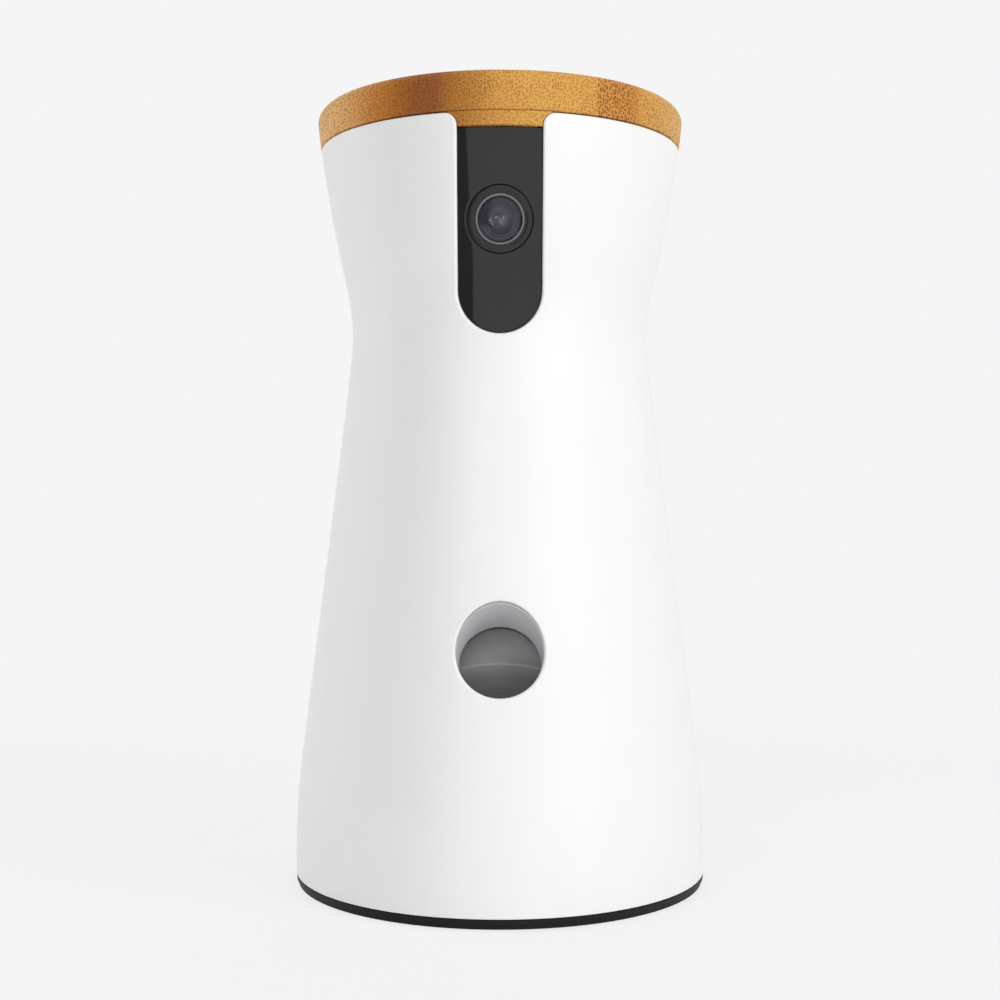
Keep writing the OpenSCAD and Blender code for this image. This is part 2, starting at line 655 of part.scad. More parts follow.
module launch_paddle() {
    pivot = PADDLE_PIVOT;
    back = PADDLE_FACE - (CUP_T - 0.6) * TUBE_OUT;
    color([0.36, 0.36, 0.37])
        difference() {
            union() {
                at_paddle()
                    difference() {
                        translate([0, 0, -CUP_T]) cylinder(r = CUP_R, h = CUP_T);
                        cup_hollow();
                    }
                // the arm
                translate([-3.5, 0, 0])
                    along_x()
                        linear_extrude(7)
                            polygon([pivot + [-5.5, -1], pivot + [5.5, -1.5], back + [5.2, -3.5],
                                     back + [3.4, 5.2], back + [-3.6, -7.4]]);
                translate([-5, pivot[0], pivot[1]]) along_x() cylinder(r = 6, h = 10.2);
                translate([-15.5, pivot[0], pivot[1]]) along_x() cylinder(r = 3.6, h = 12);
                translate([5.1, pivot[0], pivot[1]]) along_x() cylinder(r = 7.6, h = 0.5);
                translate([GEAR_X - 0.2, pivot[0], pivot[1]])
                    along_x()
                        linear_extrude(GEAR_W + 0.4)
                            polygon(gear_outline(paddle_teeth, GEAR_LINE + 180 / paddle_teeth, paddle_teeth, 0));
                translate([10, pivot[0], pivot[1]]) along_x() cylinder(r = 3.6, h = 5.5);
            }
            translate([-30, pivot[0], pivot[1]]) along_x() cylinder(r = 2, h = 60, $fn = 48);
        }
}

SPRING_TURNS = 4.75;
SPRING_R = 5.1;
WIRE_R = 0.45;
module paddle_spring() {
    coil = [for (i = [0 : 8 * SPRING_TURNS])
        [-13.6 + 7 * i / (8 * SPRING_TURNS),
         PADDLE_PIVOT[0] + SPRING_R * cos(45 * i), PADDLE_PIVOT[1] + SPRING_R * sin(45 * i)]];
    first = coil[0] + [0, 0.4, -9];
    last = coil[len(coil) - 1] + [0, -7, -0.6];
    color("silver") swept(concat([first], coil, [last]), [1, 0.02, 0.03], WIRE_R, WIRE_R, 6);
}

// ---- Sound ----

module speaker_basket() {
    color([0.25, 0.25, 0.27])
        at_speaker()
            rotate_extrude()
                polygon([[16, 0], [SPEAKER_R, 0], [SPEAKER_R, -2], [11, -8.9], [9.2, -8.9], [9.2, -7.4], [10, -7.4],
                         [16, -2]]);
}
module speaker_magnet() {
    color("dimgray") at_speaker() translate([0, 0, -15]) cylinder(r = 11, h = 6);
}
module speaker_cone() {
    color([0.1, 0.1, 0.1])
        at_speaker()
            rotate_extrude()
                polygon([[0, -2.2], [4, -3.2], [5, -6], [14, -1.2], [15.8, -0.6], [15.8, -1.4], [14, -2.2],
                         [5, -7.2], [0, -7.2]]);
}
module speaker_gasket() {
    color([0.15, 0.15, 0.15]) at_speaker() tube_z(SPEAKER_R, 16.2, 0.1, 1.6);
}

// ---- Electronics ----

module board_outline() {
    polygon([[-36, -6], [36, -6], [36, 46], [14, 66], [-14, 66], [-36, 46]]);
}

module main_board() {
    color("darkgreen")
        difference() {
            translate([0, 0, BOARD_Z]) linear_extrude(BOARD_T) board_outline();
            for (p = BOARD_FEET) translate([p[0], p[1], BOARD_Z - 2]) cylinder(r = 1.5, h = 6, $fn = 24);
        }
}

module board_chips() {
    color("silver") {
        translate([-24, 8, BOARD_Z + BOARD_T + 0.1]) cube([22, 18, 3]);
        translate([4, 10, BOARD_Z + BOARD_T + 0.1]) cube([14, 14, 1.4]);
        translate([-20, 36, BOARD_Z + BOARD_T + 0.1]) cube([12, 8, 1.2]);
        translate([22, -3, BOARD_Z + BOARD_T + 0.1]) cube([6, 12, 2.2]);
        for (k = [0 : 3]) translate([6 + 6 * k, 34, BOARD_Z + BOARD_T + 0.1]) cylinder(r = 2.4, h = 6, $fn = 32);
    }
}

module board_screws() {
    color("silver")
        for (p = BOARD_FEET)
            translate([p[0], p[1], BOARD_Z + BOARD_T + 0.1]) rotate([180, 0, 0]) screw(2.6, 1.5, 1.2, 6);
}

module power_inlet() {
    color("silver")
        difference() {
            translate([-3.9, 63, BOARD_Z + BOARD_T + 0.1]) cube([7.8, 6, 2.9]);
            translate([-3.4, 65, BOARD_Z + BOARD_T + 0.6]) cube([6.8, 6, 1.9]);
        }
}

module power_switch_body() {
    color([0.2, 0.2, 0.2])
        translate([SWITCH_X - 6, SWITCH_Y - 2.5, BOARD_Z - 3.6]) cube([12, 5, 3.5]);
}
module power_slider() {
    color([0.1, 0.1, 0.1])
        union() {
            translate([SWITCH_X - 4.4, SWITCH_Y - 1.6, 1.8]) cube([4, 3.2, 8.3]);
            translate([SWITCH_X - 6.4, SWITCH_Y - 2.6, 4.2]) cube([8, 5.2, 1.2]);
        }
}
module reset_switch_body() {
    color([0.2, 0.2, 0.2])
        translate([-SWITCH_X - 3, SWITCH_Y - 3, BOARD_Z - 3.6]) cube([6, 6, 3.5]);
}
module reset_button() {
    color([0.5, 0.5, 0.5])
        translate([-SWITCH_X, SWITCH_Y, 0]) {
            translate([0, 0, 1.8]) cylinder(r = 2, h = 7.5);
            translate([0, 0, 4.2]) cylinder(r = 3.2, h = 1.2);
        }
}

module wifi_antenna() {
    color("gold") translate([-30, 22, BOARD_Z + BOARD_T + 0.1]) cube([4, 16, 0.8]);
}

module arc_plate(z, thickness, outer_inset, inner_inset, half_angle) {
    steps = 24;
    a = half_width(z);
    b = half_depth(z);
    function at(inset, angle) = [(a - inset) * sin(angle), centre_y(z) - (b - inset) * cos(angle)];
    translate([0, 0, z])
        linear_extrude(thickness)
            polygon(concat(
                [for (i = [0 : steps]) at(outer_inset, -half_angle + 2 * half_angle * i / steps)],
                [for (i = [steps : -1 : 0]) at(inner_inset, -half_angle + 2 * half_angle * i / steps)]));
}
module light_guide() { color([0.9, 0.95, 1, 0.7]) arc_plate(6.2, 3, wall + 0.5, wall + 3.6, 32); }
module status_led_board() {
    color("darkgreen") arc_plate(9.4, 1.2, wall + 1.2, wall + 6.5, 26);
}

// ---- Leads, all clipped inside the body ----

RIBBON_ROUTE = [[-48.6, 170.6], [-44.5, 163], [-39.5, 152], [-38, 138], [-38.5, 120], [-41, 98], [-41.5, 76],
                [-41, 52], [-40, 34], [-37, 24], [-29, 19.6], [-16, 18.7], [-3, 18.4]];   // in Y and Z
RIBBON_T = 0.35;
RIBBON_X = 19;
RIBBON_W = 8.4;
function side_point(path, i, distance) = let (t = tangent(path, i)) path[i] + distance * [-t[1], t[0]];
module camera_ribbon() {
    path = smooth_path(RIBBON_ROUTE, 4);
    last = len(path) - 1;
    color([0.9, 0.9, 0.95])
        union() {
            translate([RIBBON_X, 0, 0])
                along_x()
                    linear_extrude(RIBBON_W)
                        polygon(concat([for (i = [0 : last]) side_point(path, i, -RIBBON_T / 2)],
                                       [for (i = [last : -1 : 0]) side_point(path, i, RIBBON_T / 2)]));
            translate([RIBBON_X - 12, RIBBON_ROUTE[0][0] - RIBBON_T / 2, 170.5]) cube([RIBBON_W + 12, RIBBON_T, 9]);
        }
}

ROTOR_LEAD = [[0, HOPPER_Y, 85.4], [0, HOPPER_Y + 0.8, 82], [2, HOPPER_Y + 12, 72], [9, 25, 51], [14, 26, 30],
              [12, 24.4, 22], [10, 22, 18.2]];
module rotor_motor_lead() {
    color("firebrick") swept(smooth_path(ROTOR_LEAD, 5), [1, 0.1, 0.05], 1, 1, 8);
}
LAUNCHER_LEAD = [[43.6, SECTOR_CENTRE[0] + 0.2, SECTOR_CENTRE[1]], [47, -25, 31], [45, -14, 26], [38, -3, 22.5],
                 [31, 8, 21], [24, 14, 19.6], [17, 18, 18.4]];
module launcher_motor_lead() {
    color("firebrick") swept(smooth_path(LAUNCHER_LEAD, 5), [0.1, 0.05, 1], 1, 1, 8);
}

// ---- Base ----

module base_plate() {
    color([0.11, 0.11, 0.12])
        difference() {
            union() {
                translate([0, 0, 0.4])
                    linear_extrude(1.2)
                        polygon(oval(foot_half_w - 0.6, section_aspect * foot_half_w - 0.6, FOOT_Y));
                translate([0, 0, 1.6])
                    linear_extrude(1.3)
                        polygon(oval(foot_half_w - 0.1, section_aspect * foot_half_w - 0.1, FOOT_Y));
                translate([0, 0, 2])
                    linear_extrude(3.9)
                        polygon(oval(foot_half_w - wall - GAP, section_aspect * foot_half_w - wall - GAP, FOOT_Y));
                for (p = BOARD_FEET) translate([p[0], p[1], 3]) cylinder(r = 3.2, h = BOARD_Z - 3.1, $fn = 32);
            }
            // the tray above the floor of the plate, and the shallow hollow under it
            translate([0, 0, 3.9])
                difference() {
                    linear_extrude(5)
                        polygon(oval(foot_half_w - wall - 3, section_aspect * foot_half_w - wall - 3, FOOT_Y));
                    for (p = BOARD_FEET) translate([p[0], p[1], -1]) cylinder(r = 3.2, h = 12, $fn = 32);
                    for (p = FRAME_FEET) translate([p[0], p[1], -1]) cylinder(r = 4.5, h = 3.1, $fn = 32);
                    for (p = BOSS_SPOTS) translate([p[0], p[1], -1]) cylinder(r = 4.6, h = 3.1, $fn = 32);
                }
            translate([0, 0, -1])
                linear_extrude(2)
                    polygon(oval(foot_half_w - 2, section_aspect * foot_half_w - 2, FOOT_Y));
            for (p = BOSS_SPOTS) {
                translate([p[0], p[1], 0]) cylinder(r = 1.7, h = 12, $fn = 24);
                translate([p[0], p[1], 0]) cylinder(r = 3.3, h = 3, $fn = 32);
            }
            for (p = BOARD_FEET) translate([p[0], p[1], 6]) cylinder(r = 1.25, h = 12, $fn = 24);
            for (p = FRAME_FEET) translate([p[0], p[1], 2.2]) cylinder(r = 1.45, h = 12, $fn = 24);
            translate([SWITCH_X - 5, SWITCH_Y - 2, 0]) cube([9.2, 4, 8]);
            translate([-SWITCH_X, SWITCH_Y, 0]) cylinder(r = 2.3, h = 8, $fn = 32);
        }
}

module base_screws() {
    color("silver")
        for (p = BOSS_SPOTS) translate([p[0], p[1], 2.9]) screw(2.9, 1.6, 1.2, 14);
}

module rubber_foot() {
    color([0.06, 0.06, 0.06])
        linear_extrude(1)
            difference() {
                polygon(oval(foot_half_w - 2.4, section_aspect * foot_half_w - 2.4, FOOT_Y));
                polygon(oval(foot_half_w - 10.6, section_aspect * foot_half_w - 10.6, FOOT_Y));
            }
}

// ---- Lid ----

PLY_LOW_Z = 210.7;
EDGE_R = 3;

// The lid's board: oval, with a rounded upper edge made of stacked rings.
module lid_board() {
    rounding = [for (k = [0 : 5]) 90 * k / 5];
    low = rim_z + 0.3;
    mid = total_h - EDGE_R;
    heights = concat([low, low + 0.5, (low + mid) / 2], [for (a = rounding) mid + EDGE_R * sin(a)]);
    insets = concat([0.55, 0.1, 0], [for (a = rounding) EDGE_R * (1 - cos(a))]);
    color([0.79, 0.53, 0.24])
        ring_skin([for (k = [0 : len(heights) - 1]) lid_ring(heights[k], insets[k])]);
}
function lid_ring(z, inset) =
    let (shape_z = min(z, total_h - EDGE_R))
    [for (p = ring(shape_z, inset, BODY_SIDES)) [p[0], p[1], z]];

module lid_inner_ply() {
    color([0.84, 0.6, 0.32])
        union() {
            body_plate(PLY_LOW_Z, rim_z + 0.2 - PLY_LOW_Z, wall + 0.5);
            // the tab that closes the top of the window's notch
            front_block(window_half_w - 0.15, PLY_LOW_Z, rim_z + 0.2, 0.4, 6, 8, 1);
        }
}

module lid_plug() {
    color([0.82, 0.83, 0.84])
        translate([0, HOPPER_Y, 0])
            difference() {
                translate([0, 0, 199]) cylinder(r = 35.2, h = PLY_LOW_Z - 0.1 - 199);
                translate([0, 0, 198]) cylinder(r = 33.2, h = PLY_LOW_Z - 2.1 - 198);
                tube_z(36, 34.2, 202.4, 205.6);
                for (a = [90, 210, 330]) rotate(a) translate([22, 0, 190]) cylinder(r = 1.7, h = 40, $fn = 24);
            }
}
module lid_seal() {
    color([0.7, 0.72, 0.74])
        translate([0, HOPPER_Y, 0])
            rotate_extrude()
                polygon([[34.3, 202.5], [35.3, 202.5], [35.65, 204], [35.3, 205.5], [34.3, 205.5]]);
}
module lid_screws() {
    color("silver")
        translate([0, HOPPER_Y, PLY_LOW_Z - 2.3])
            for (a = [90, 210, 330]) rotate(a) translate([22, 0, 0]) screw(3.2, 1.8, 1.4, 2.2);
}

outer_casing();
camera_window();
lens_bezel();
lens_trim_ring();
lens_glass();
lens_barrel();
camera_board();
camera_bracket();
infrared_leds();
hopper();
hopper_screws();
metering_housing();
housing_screws();
rotor_gearbox();
rotor_motor();
drop_chute();
launch_tube();
launcher_frame();
frame_screws();
paddle_axle();
axle_clips();
launcher_gearbox();
launcher_motor();
speaker_basket();
speaker_magnet();
speaker_cone();
speaker_gasket();
microphone();
main_board();
board_chips();
board_screws();
power_inlet();
power_switch_body();
reset_switch_body();
wifi_antenna();
status_led_board();
light_guide();
camera_ribbon();
rotor_motor_lead();
launcher_motor_lead();
base_plate();
base_screws();
rubber_foot();
lid_board();
lid_inner_ply();
lid_plug();
lid_seal();
lid_screws();
metering_rotor();
rotor_shaft();
sector_gear();
sector_shaft();
launch_paddle();
paddle_spring();
power_slider();
reset_button();
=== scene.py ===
"""Looks for an oval, hourglass pet camera with a bamboo lid, a dark camera window and a treat tube.

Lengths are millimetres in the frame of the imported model: +Z up, -Y out of the front. They become
metres only where a mesh is made. Lamps, floor and flag are given in metres.
"""

import logging
import math
from dataclasses import dataclass, field
from enum import Enum
from typing import Callable, ClassVar, Sequence

import bmesh
import bpy
import numpy as np
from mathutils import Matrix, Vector, geometry


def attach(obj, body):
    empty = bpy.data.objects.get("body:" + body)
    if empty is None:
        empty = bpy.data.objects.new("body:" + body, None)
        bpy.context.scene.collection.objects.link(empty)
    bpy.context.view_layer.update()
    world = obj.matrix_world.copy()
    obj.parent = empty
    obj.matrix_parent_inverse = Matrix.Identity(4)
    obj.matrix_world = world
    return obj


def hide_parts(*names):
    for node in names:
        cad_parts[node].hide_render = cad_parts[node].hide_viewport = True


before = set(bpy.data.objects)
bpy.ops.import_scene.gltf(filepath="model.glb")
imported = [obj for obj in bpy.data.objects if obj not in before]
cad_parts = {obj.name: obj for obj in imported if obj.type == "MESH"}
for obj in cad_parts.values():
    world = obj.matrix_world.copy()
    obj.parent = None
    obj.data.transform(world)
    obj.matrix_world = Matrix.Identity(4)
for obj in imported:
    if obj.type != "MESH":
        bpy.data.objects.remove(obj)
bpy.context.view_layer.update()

LOG = logging.getLogger("pet_camera")
MM = 0.001
WELD = 0.002
BOWL_STEPS = 32
NEAR_AXIS = 0.001
WHITE = (1.0, 1.0, 1.0, 1.0)

Pair = tuple[float, float]
Triple = tuple[float, float, float]
Rgb = tuple[float, float, float]
Array = np.ndarray
Faces = list[tuple[int, ...]]
Line = Callable[[float], Array]
Piece = bpy.types.Object
Socket = bpy.types.NodeSocket


# Node graphs.


class Blend(Enum):
    """How a second colour goes over a first one."""

    MIX = "MIX"
    MULTIPLY = "MULTIPLY"


class Graph:
    """The node tree of a material or the world, with short calls for the kinds of node it uses."""

    def __init__(self, owner: bpy.types.Material | bpy.types.World,
                 shader: str = "ShaderNodeBsdfPrincipled",
                 output: str = "ShaderNodeOutputMaterial") -> None:
        """Starts a tree with a shader and an output.

        Args:
            owner: The material or world that has the tree.
            shader: The shader's type name.
            output: The output's type name.
        """
        owner.use_nodes = True
        self.tree = owner.node_tree
        self.tree.nodes.clear()
        self.shader = self.add(shader)
        self.output = self.feed(self.add(output), self.shader.outputs[0])

    def add(self, kind: str, **values: object) -> bpy.types.Node:
        """Adds a node.

        Args:
            kind: The node's type name.
            values: Properties to set on it.

        Returns:
            The node.
        """
        node = self.tree.nodes.new(kind)
        for name, value in values.items():
            setattr(node, name, value)
        return node

    def put(self, socket: Socket, value: object) -> None:
        """Feeds one input.

        Args:
            socket: The input.
            value: An output to link to it, or a plain value to set.
        """
        if isinstance(value, Socket):
            self.tree.links.new(value, socket)
        else:
            socket.default_value = value

    def feed(self, node: bpy.types.Node, *values: object, **named: object) -> bpy.types.Node:
        """Feeds several inputs of a node.

        Args:
            node: The node.
            values: What its first inputs get, in their order.
            named: What inputs get by name, with underscores for spaces.

        Returns:
            The node.
        """
        for socket, value in zip(node.inputs, values):
            self.put(socket, value)
        for name, value in named.items():
            self.put(node.inputs[name.replace("_", " ")], value)
        return node

    def set(self, **sockets: object) -> None:
        """Feeds the shader's own inputs, named with underscores for spaces."""
        self.feed(self.shader, **sockets)

    def place(self) -> Socket:
        """Object coordinates, in metres."""
        return self.add("ShaderNodeTexCoord").outputs["Object"]

    def axis(self, letter: str) -> Socket:
        """One object coordinate, in metres."""
        return self.feed(self.add("ShaderNodeSeparateXYZ"), self.place()).outputs[letter]

    def scaled(self, size: float | Triple) -> Socket:
        """Object coordinates divided by a cell size in millimetres, or by one on each axis."""
        scale = [1 / (s * MM) for s in (size if isinstance(size, tuple) else (size,) * 3)]
        return self.feed(self.add("ShaderNodeMapping"), self.place(), Scale=scale).outputs[0]

    def noise(self, size: float | Triple, detail: float = 3.0, rough: float = 0.5) -> Socket:
        """A noise value near 0.5, with features of a size in millimetres and finer ones on them."""
        node = self.feed(self.add("ShaderNodeTexNoise"), Vector=self.scaled(size), Scale=1.0)
        return self.feed(node, Detail=detail, Roughness=rough).outputs["Fac"]

    def cells(self, vector: Socket, spread: float = 1.0, **values: object) -> Socket:
        """Distance to the nearest point of a cell texture. The named values are node properties."""
        node = self.add("ShaderNodeTexVoronoi", **values)
        return self.feed(node, Vector=vector, Scale=1.0, Randomness=spread).outputs["Distance"]

    def fit(self, value: object, low: float, high: float, to_low: float = 0.0,
            to_high: float = 1.0, soft: bool = False) -> Socket:
        """Maps one range of values to another and holds it there. The ramp can ease in and out."""
        node = self.add("ShaderNodeMapRange", interpolation_type="SMOOTHSTEP" if soft else "LINEAR")
        return self.feed(node, value, low, high, to_low, to_high).outputs["Result"]

    def math(self, operation: str, a: object, b: object = 0.0) -> Socket:
        """One arithmetic step on two values."""
        return self.feed(self.add("ShaderNodeMath", operation=operation), a, b).outputs[0]

    def mix(self, share: object, a: Socket | Rgb, b: Socket | Rgb,
            blend: Blend = Blend.MIX) -> Socket:
        """Mixes two colours.

        Args:
            share: How much of the second one there is.
            a: The first colour.
            b: The second colour.
            blend: The way they mix.

        Returns:
            The mixed colour.
        """
        node = self.add("ShaderNodeMix", data_type="RGBA", blend_type=blend.value)
        for number, value in ((0, share), (6, a), (7, b)):
            self.put(node.inputs[number], (*value, 1.0) if isinstance(value, tuple) else value)
        return node.outputs[2]

    def ramp(self, value: object, stops: Sequence[tuple[float, Rgb]]) -> Socket:
        """Turns a value into a colour.

        Args:
            value: The value, from 0 to 1.
            stops: Places along it, and their colours.

        Returns:
            The colour.
        """
        node = self.feed(self.add("ShaderNodeValToRGB"), value)
        entries = node.color_ramp.elements
        while len(entries) < len(stops):
            entries.new(1.0)
        for entry, (where, colour) in zip(entries, stops):
            entry.position = where
            entry.color = (*colour, 1.0)
        return node.outputs["Color"]

    def face_on(self, width: float, height: float, bend: Socket) -> Socket:
        """Object X and Z as a flat vector that doesn't change along Y.

        Args:
            width: Cell size along X, in millimetres.
            height: Cell size along Z, in millimetres.
            bend: What is added to X, in metres.

        Returns:
            The vector.
        """
        across = self.math("DIVIDE", self.math("ADD", self.axis("X"), bend), width * MM)
        along = self.math("DIVIDE", self.axis("Z"), height * MM)
        return self.feed(self.add("ShaderNodeCombineXYZ"), across, along).outputs["Vector"]

    def bump(self, height: object, depth: float) -> Socket:
        """A normal tilted by a height from 0 to 1, whose relief is a depth in millimetres."""
        node = self.feed(self.add("ShaderNodeBump"), Strength=1.0, Distance=depth * MM)
        return self.feed(node, Height=height).outputs["Normal"]

    def seen_or_lit(self, seen: float, lit: float) -> Socket:
        """One value for rays that see the backdrop and another for rays that light by it.

        Args:
            seen: The value for camera, glossy and transmission rays.
            lit: The value for the rest.

        Returns:
            The value.
        """
        path = self.add("ShaderNodeLightPath").outputs
        either = self.math("MAXIMUM", path["Is Camera Ray"], path["Is Glossy Ray"])
        either = self.math("MAXIMUM", either, path["Is Transmission Ray"])
        return self.fit(either, 0.0, 1.0, lit, seen)


# Finishes.


@dataclass(frozen=True)
class Finish:
    """A surface finish. Each kind fills one node graph, and its material is made once."""

    name: str
    made: ClassVar[dict[str, bpy.types.Material]] = {}

    def fill(self, graph: Graph) -> None:
        """Adds this finish's nodes to a graph."""
        raise NotImplementedError

    def material(self) -> bpy.types.Material:
        """Makes the finish's material at its first use.

        Returns:
            The material.
        """
        if self.name not in Finish.made:
            Finish.made[self.name] = bpy.data.materials.new(self.name)
            self.fill(Graph(Finish.made[self.name]))
        return Finish.made[self.name]


@dataclass(frozen=True)
class Moulded(Finish):
    """Moulded plastic: an even colour with faint flow, a fine grain, and a coat if it is glossy."""

    colour: Rgb
    roughness: float = 0.4
    grain: float = 0.35
    relief: float = 0.006
    drift: float = 0.04
    coat: float = 0.0
    specular: float = 0.5
    flow: Triple = (18.0, 18.0, 30.0)

    def fill(self, graph: Graph) -> None:
        """Adds the plastic's nodes.

        Args:
            graph: The graph to fill.
        """
        flow = graph.noise(self.flow, 3)
        fine = graph.noise(self.grain, 2, 0.6)
        dark = tuple(c * (1 - self.drift) for c in self.colour)
        light = tuple(min(1.0, c * (1 + self.drift * 0.5)) for c in self.colour)
        dull, rough = self.roughness * 0.92, min(1.0, self.roughness * 1.1)
        graph.set(
            Base_Color=graph.ramp(graph.fit(flow, 0.3, 0.7), [(0.0, dark), (1.0, light)]),
            Roughness=graph.fit(fine, 0.25, 0.75, dull, rough),
            Normal=graph.bump(fine, self.relief),
            Specular_IOR_Level=self.specular,
            Coat_Weight=self.coat,
            Coat_Roughness=0.08,
        )


@dataclass(frozen=True)
class Metal(Finish):
    """Bare or plated metal with fine tool marks along one axis and slightly dull patches."""

    colour: Rgb
    roughness: float = 0.28
    marks: Triple = (0.2, 0.2, 6.0)
    relief: float = 0.004
    patch: float = 4.0

    def fill(self, graph: Graph) -> None:
        """Adds the metal's nodes.

        Args:
            graph: The graph to fill.
        """
        marks = graph.noise(self.marks, 4, 0.6)
        patches = graph.noise(self.patch, 3)
        dull = tuple(c * 0.82 for c in self.colour)
        graph.set(
            Base_Color=graph.mix(graph.fit(patches, 0.35, 0.7, 0.0, 0.6), self.colour, dull),
            Metallic=1.0,
            Roughness=graph.fit(marks, 0.2, 0.8, self.roughness * 0.75, self.roughness * 1.4),
            Normal=graph.bump(marks, self.relief),
        )


@dataclass(frozen=True)
class Rubber(Finish):
    """Soft rubber, foam or paper: dark or milky, matt, with open pores and a little dust."""

    colour: Rgb
    roughness: float = 0.75
    pore: float = 0.5
    relief: float = 0.03
    dust: float = 6.0

    def fill(self, graph: Graph) -> None:
        """Adds the rubber's nodes.

        Args:
            graph: The graph to fill.
        """
        pores = graph.cells(graph.scaled(self.pore))
        dust = graph.noise(self.dust, 4)
        pale = tuple(min(1.0, c * 1.35 + 0.01) for c in self.colour)
        dull, rough = self.roughness * 0.92, min(1.0, self.roughness * 1.1)
        graph.set(
            Base_Color=graph.mix(graph.fit(dust, 0.45, 0.75, 0.0, 0.5), self.colour, pale),
            Roughness=graph.fit(dust, 0.3, 0.7, dull, rough),
            Normal=graph.bump(pores, self.relief),
            Specular_IOR_Level=0.3,
        )


@dataclass(frozen=True)
class Clear(Finish):
    """A clear part: coated lens glass, or frosted acrylic where it is rough."""

    tint: Rgb
    roughness: float = 0.02
    ior: float = 1.5
    transmission: float = 1.0
    coat: float = 0.4
    coat_roughness: float = 0.02
    cloud: float = 3.0

    def fill(self, graph: Graph) -> None:
        """Adds the clear part's nodes.

        Args:
            graph: The graph to fill.
        """
        cloud = graph.noise(self.cloud, 3)
        deep = tuple(c * 0.9 for c in self.tint)
        smooth, rough = self.roughness * 0.8, self.roughness * 1.2 + 0.004
        graph.set(
            Base_Color=graph.mix(graph.fit(cloud, 0.4, 0.6), self.tint, deep),
            Roughness=graph.fit(cloud, 0.3, 0.7, smooth, rough),
            IOR=self.ior,
            Transmission_Weight=self.transmission,
            Coat_Weight=self.coat,
            Coat_Roughness=self.coat_roughness,
        )


@dataclass(frozen=True)
class CircuitBoard(Finish):
    """Solder mask over copper: a green board with fine tracks and small tinned pads."""

    mask: Rgb = (0.012, 0.13, 0.055)
    track: Rgb = (0.03, 0.24, 0.10)
    pad: Rgb = (0.62, 0.58, 0.46)
    track_block: float = 3.2
    pad_block: float = 2.1

    def fill(self, graph: Graph) -> None:
        """Adds the board's nodes.

        Args:
            graph: The graph to fill.
        """
        blocks = graph.cells(graph.scaled(self.track_block), 0.35, distance="CHEBYCHEV")
        lines = graph.math("PINGPONG", graph.math("MULTIPLY", blocks, 9.0), 0.5)
        tracks = graph.fit(lines, 0.30, 0.36)
        pads = graph.fit(graph.cells(graph.scaled(self.pad_block), 0.8), 0.16, 0.13)
        green = graph.mix(tracks, self.mask, self.track)
        graph.set(
            Base_Color=graph.mix(pads, green, self.pad),
            Metallic=graph.fit(pads, 0.4, 0.6, 0.0, 0.8),
            Roughness=graph.fit(tracks, 0.0, 1.0, 0.34, 0.26),
            Normal=graph.bump(graph.math("ADD", tracks, pads), 0.03),
        )


@dataclass(frozen=True)
class Bamboo(Finish):
    """Carbonised bamboo board: strips of differing tone, and dots of fibre bundles cut across.

    The strips are at X in millimetres, and the dots lie closer and darker in one band of X.
    """

    half_w: float = 53.0
    strips: tuple[tuple[float, Rgb], ...] = (
        (-50.0, (0.80, 0.48, 0.20)), (-42.0, (0.76, 0.40, 0.13)), (-37.0, (0.66, 0.29, 0.078)),
        (-32.0, (0.52, 0.20, 0.037)), (-27.5, (0.43, 0.150, 0.024)), (-21.5, (0.31, 0.100, 0.026)),
        (-16.5, (0.31, 0.105, 0.028)), (-12.5, (0.42, 0.165, 0.030)), (-7.0, (0.49, 0.22, 0.045)),
        (-1.0, (0.63, 0.31, 0.072)), (8.0, (0.68, 0.36, 0.088)), (25.3, (0.66, 0.34, 0.080)),
        (26.3, (0.60, 0.27, 0.062)), (36.5, (0.55, 0.24, 0.056)), (38.5, (0.64, 0.32, 0.075)),
        (50.0, (0.66, 0.37, 0.11)),
    )
    dark: Rgb = (0.17, 0.048, 0.010)
    fibre: Rgb = (0.36, 0.25, 0.20)
    pitch: Pair = (0.70, 0.92)
    dense_from: float = 25.8
    dense_to: float = 38.5
    strip_bend: float = 1.6
    dot_bend: float = 2.0

    def fill(self, graph: Graph) -> None:
        """Adds the board's nodes.

        Args:
            graph: The graph to fill.
        """
        strip, dot = self.strip_bend * MM, self.dot_bend * MM
        bend = graph.fit(graph.noise((9.0, 70.0, 11.0), 3), 0.0, 1.0, -strip, strip)
        across = graph.math("ADD", graph.axis("X"), bend)
        along = graph.fit(across, -self.half_w * MM, self.half_w * MM)
        tone = graph.ramp(along, [((x + self.half_w) / (2 * self.half_w), c)
                                  for x, c in self.strips])
        drift = graph.fit(graph.noise((14.0, 60.0, 14.0), 2), 0.0, 1.0, -dot, dot)
        reach = graph.cells(graph.face_on(*self.pitch, drift), 0.8, voronoi_dimensions="2D")
        dense = graph.math(
            "MULTIPLY", graph.fit(across, (self.dense_from - 0.6) * MM, self.dense_from * MM),
            graph.fit(across, self.dense_to * MM, (self.dense_to - 4) * MM))
        clumps = graph.noise((5.0, 45.0, 6.0), 2)
        size = graph.math("ADD", graph.fit(clumps, 0.3, 0.7, 0.27, 0.33),
                          graph.math("MULTIPLY", dense, 0.05))
        dots = graph.fit(graph.math("DIVIDE", reach, size), 1.25, 0.55)
        strength = graph.math("MAXIMUM", graph.fit(clumps, 0.3, 0.7, 0.48, 0.72), dense)
        marks = graph.math("MULTIPLY", dots, strength)
        streak = graph.noise((0.42, 18.0, 2.6), 3, 0.55)
        grained = graph.mix(graph.fit(streak, 0.38, 0.70, 0.0, 0.08), tone, self.dark)
        graph.set(
            Base_Color=graph.mix(marks, grained, self.fibre, Blend.MULTIPLY),
            Roughness=graph.fit(streak, 0.2, 0.8, 0.46, 0.62),
            Normal=graph.bump(graph.math("SUBTRACT", 1.0, dots), 0.03),
            Specular_IOR_Level=0.18,
        )


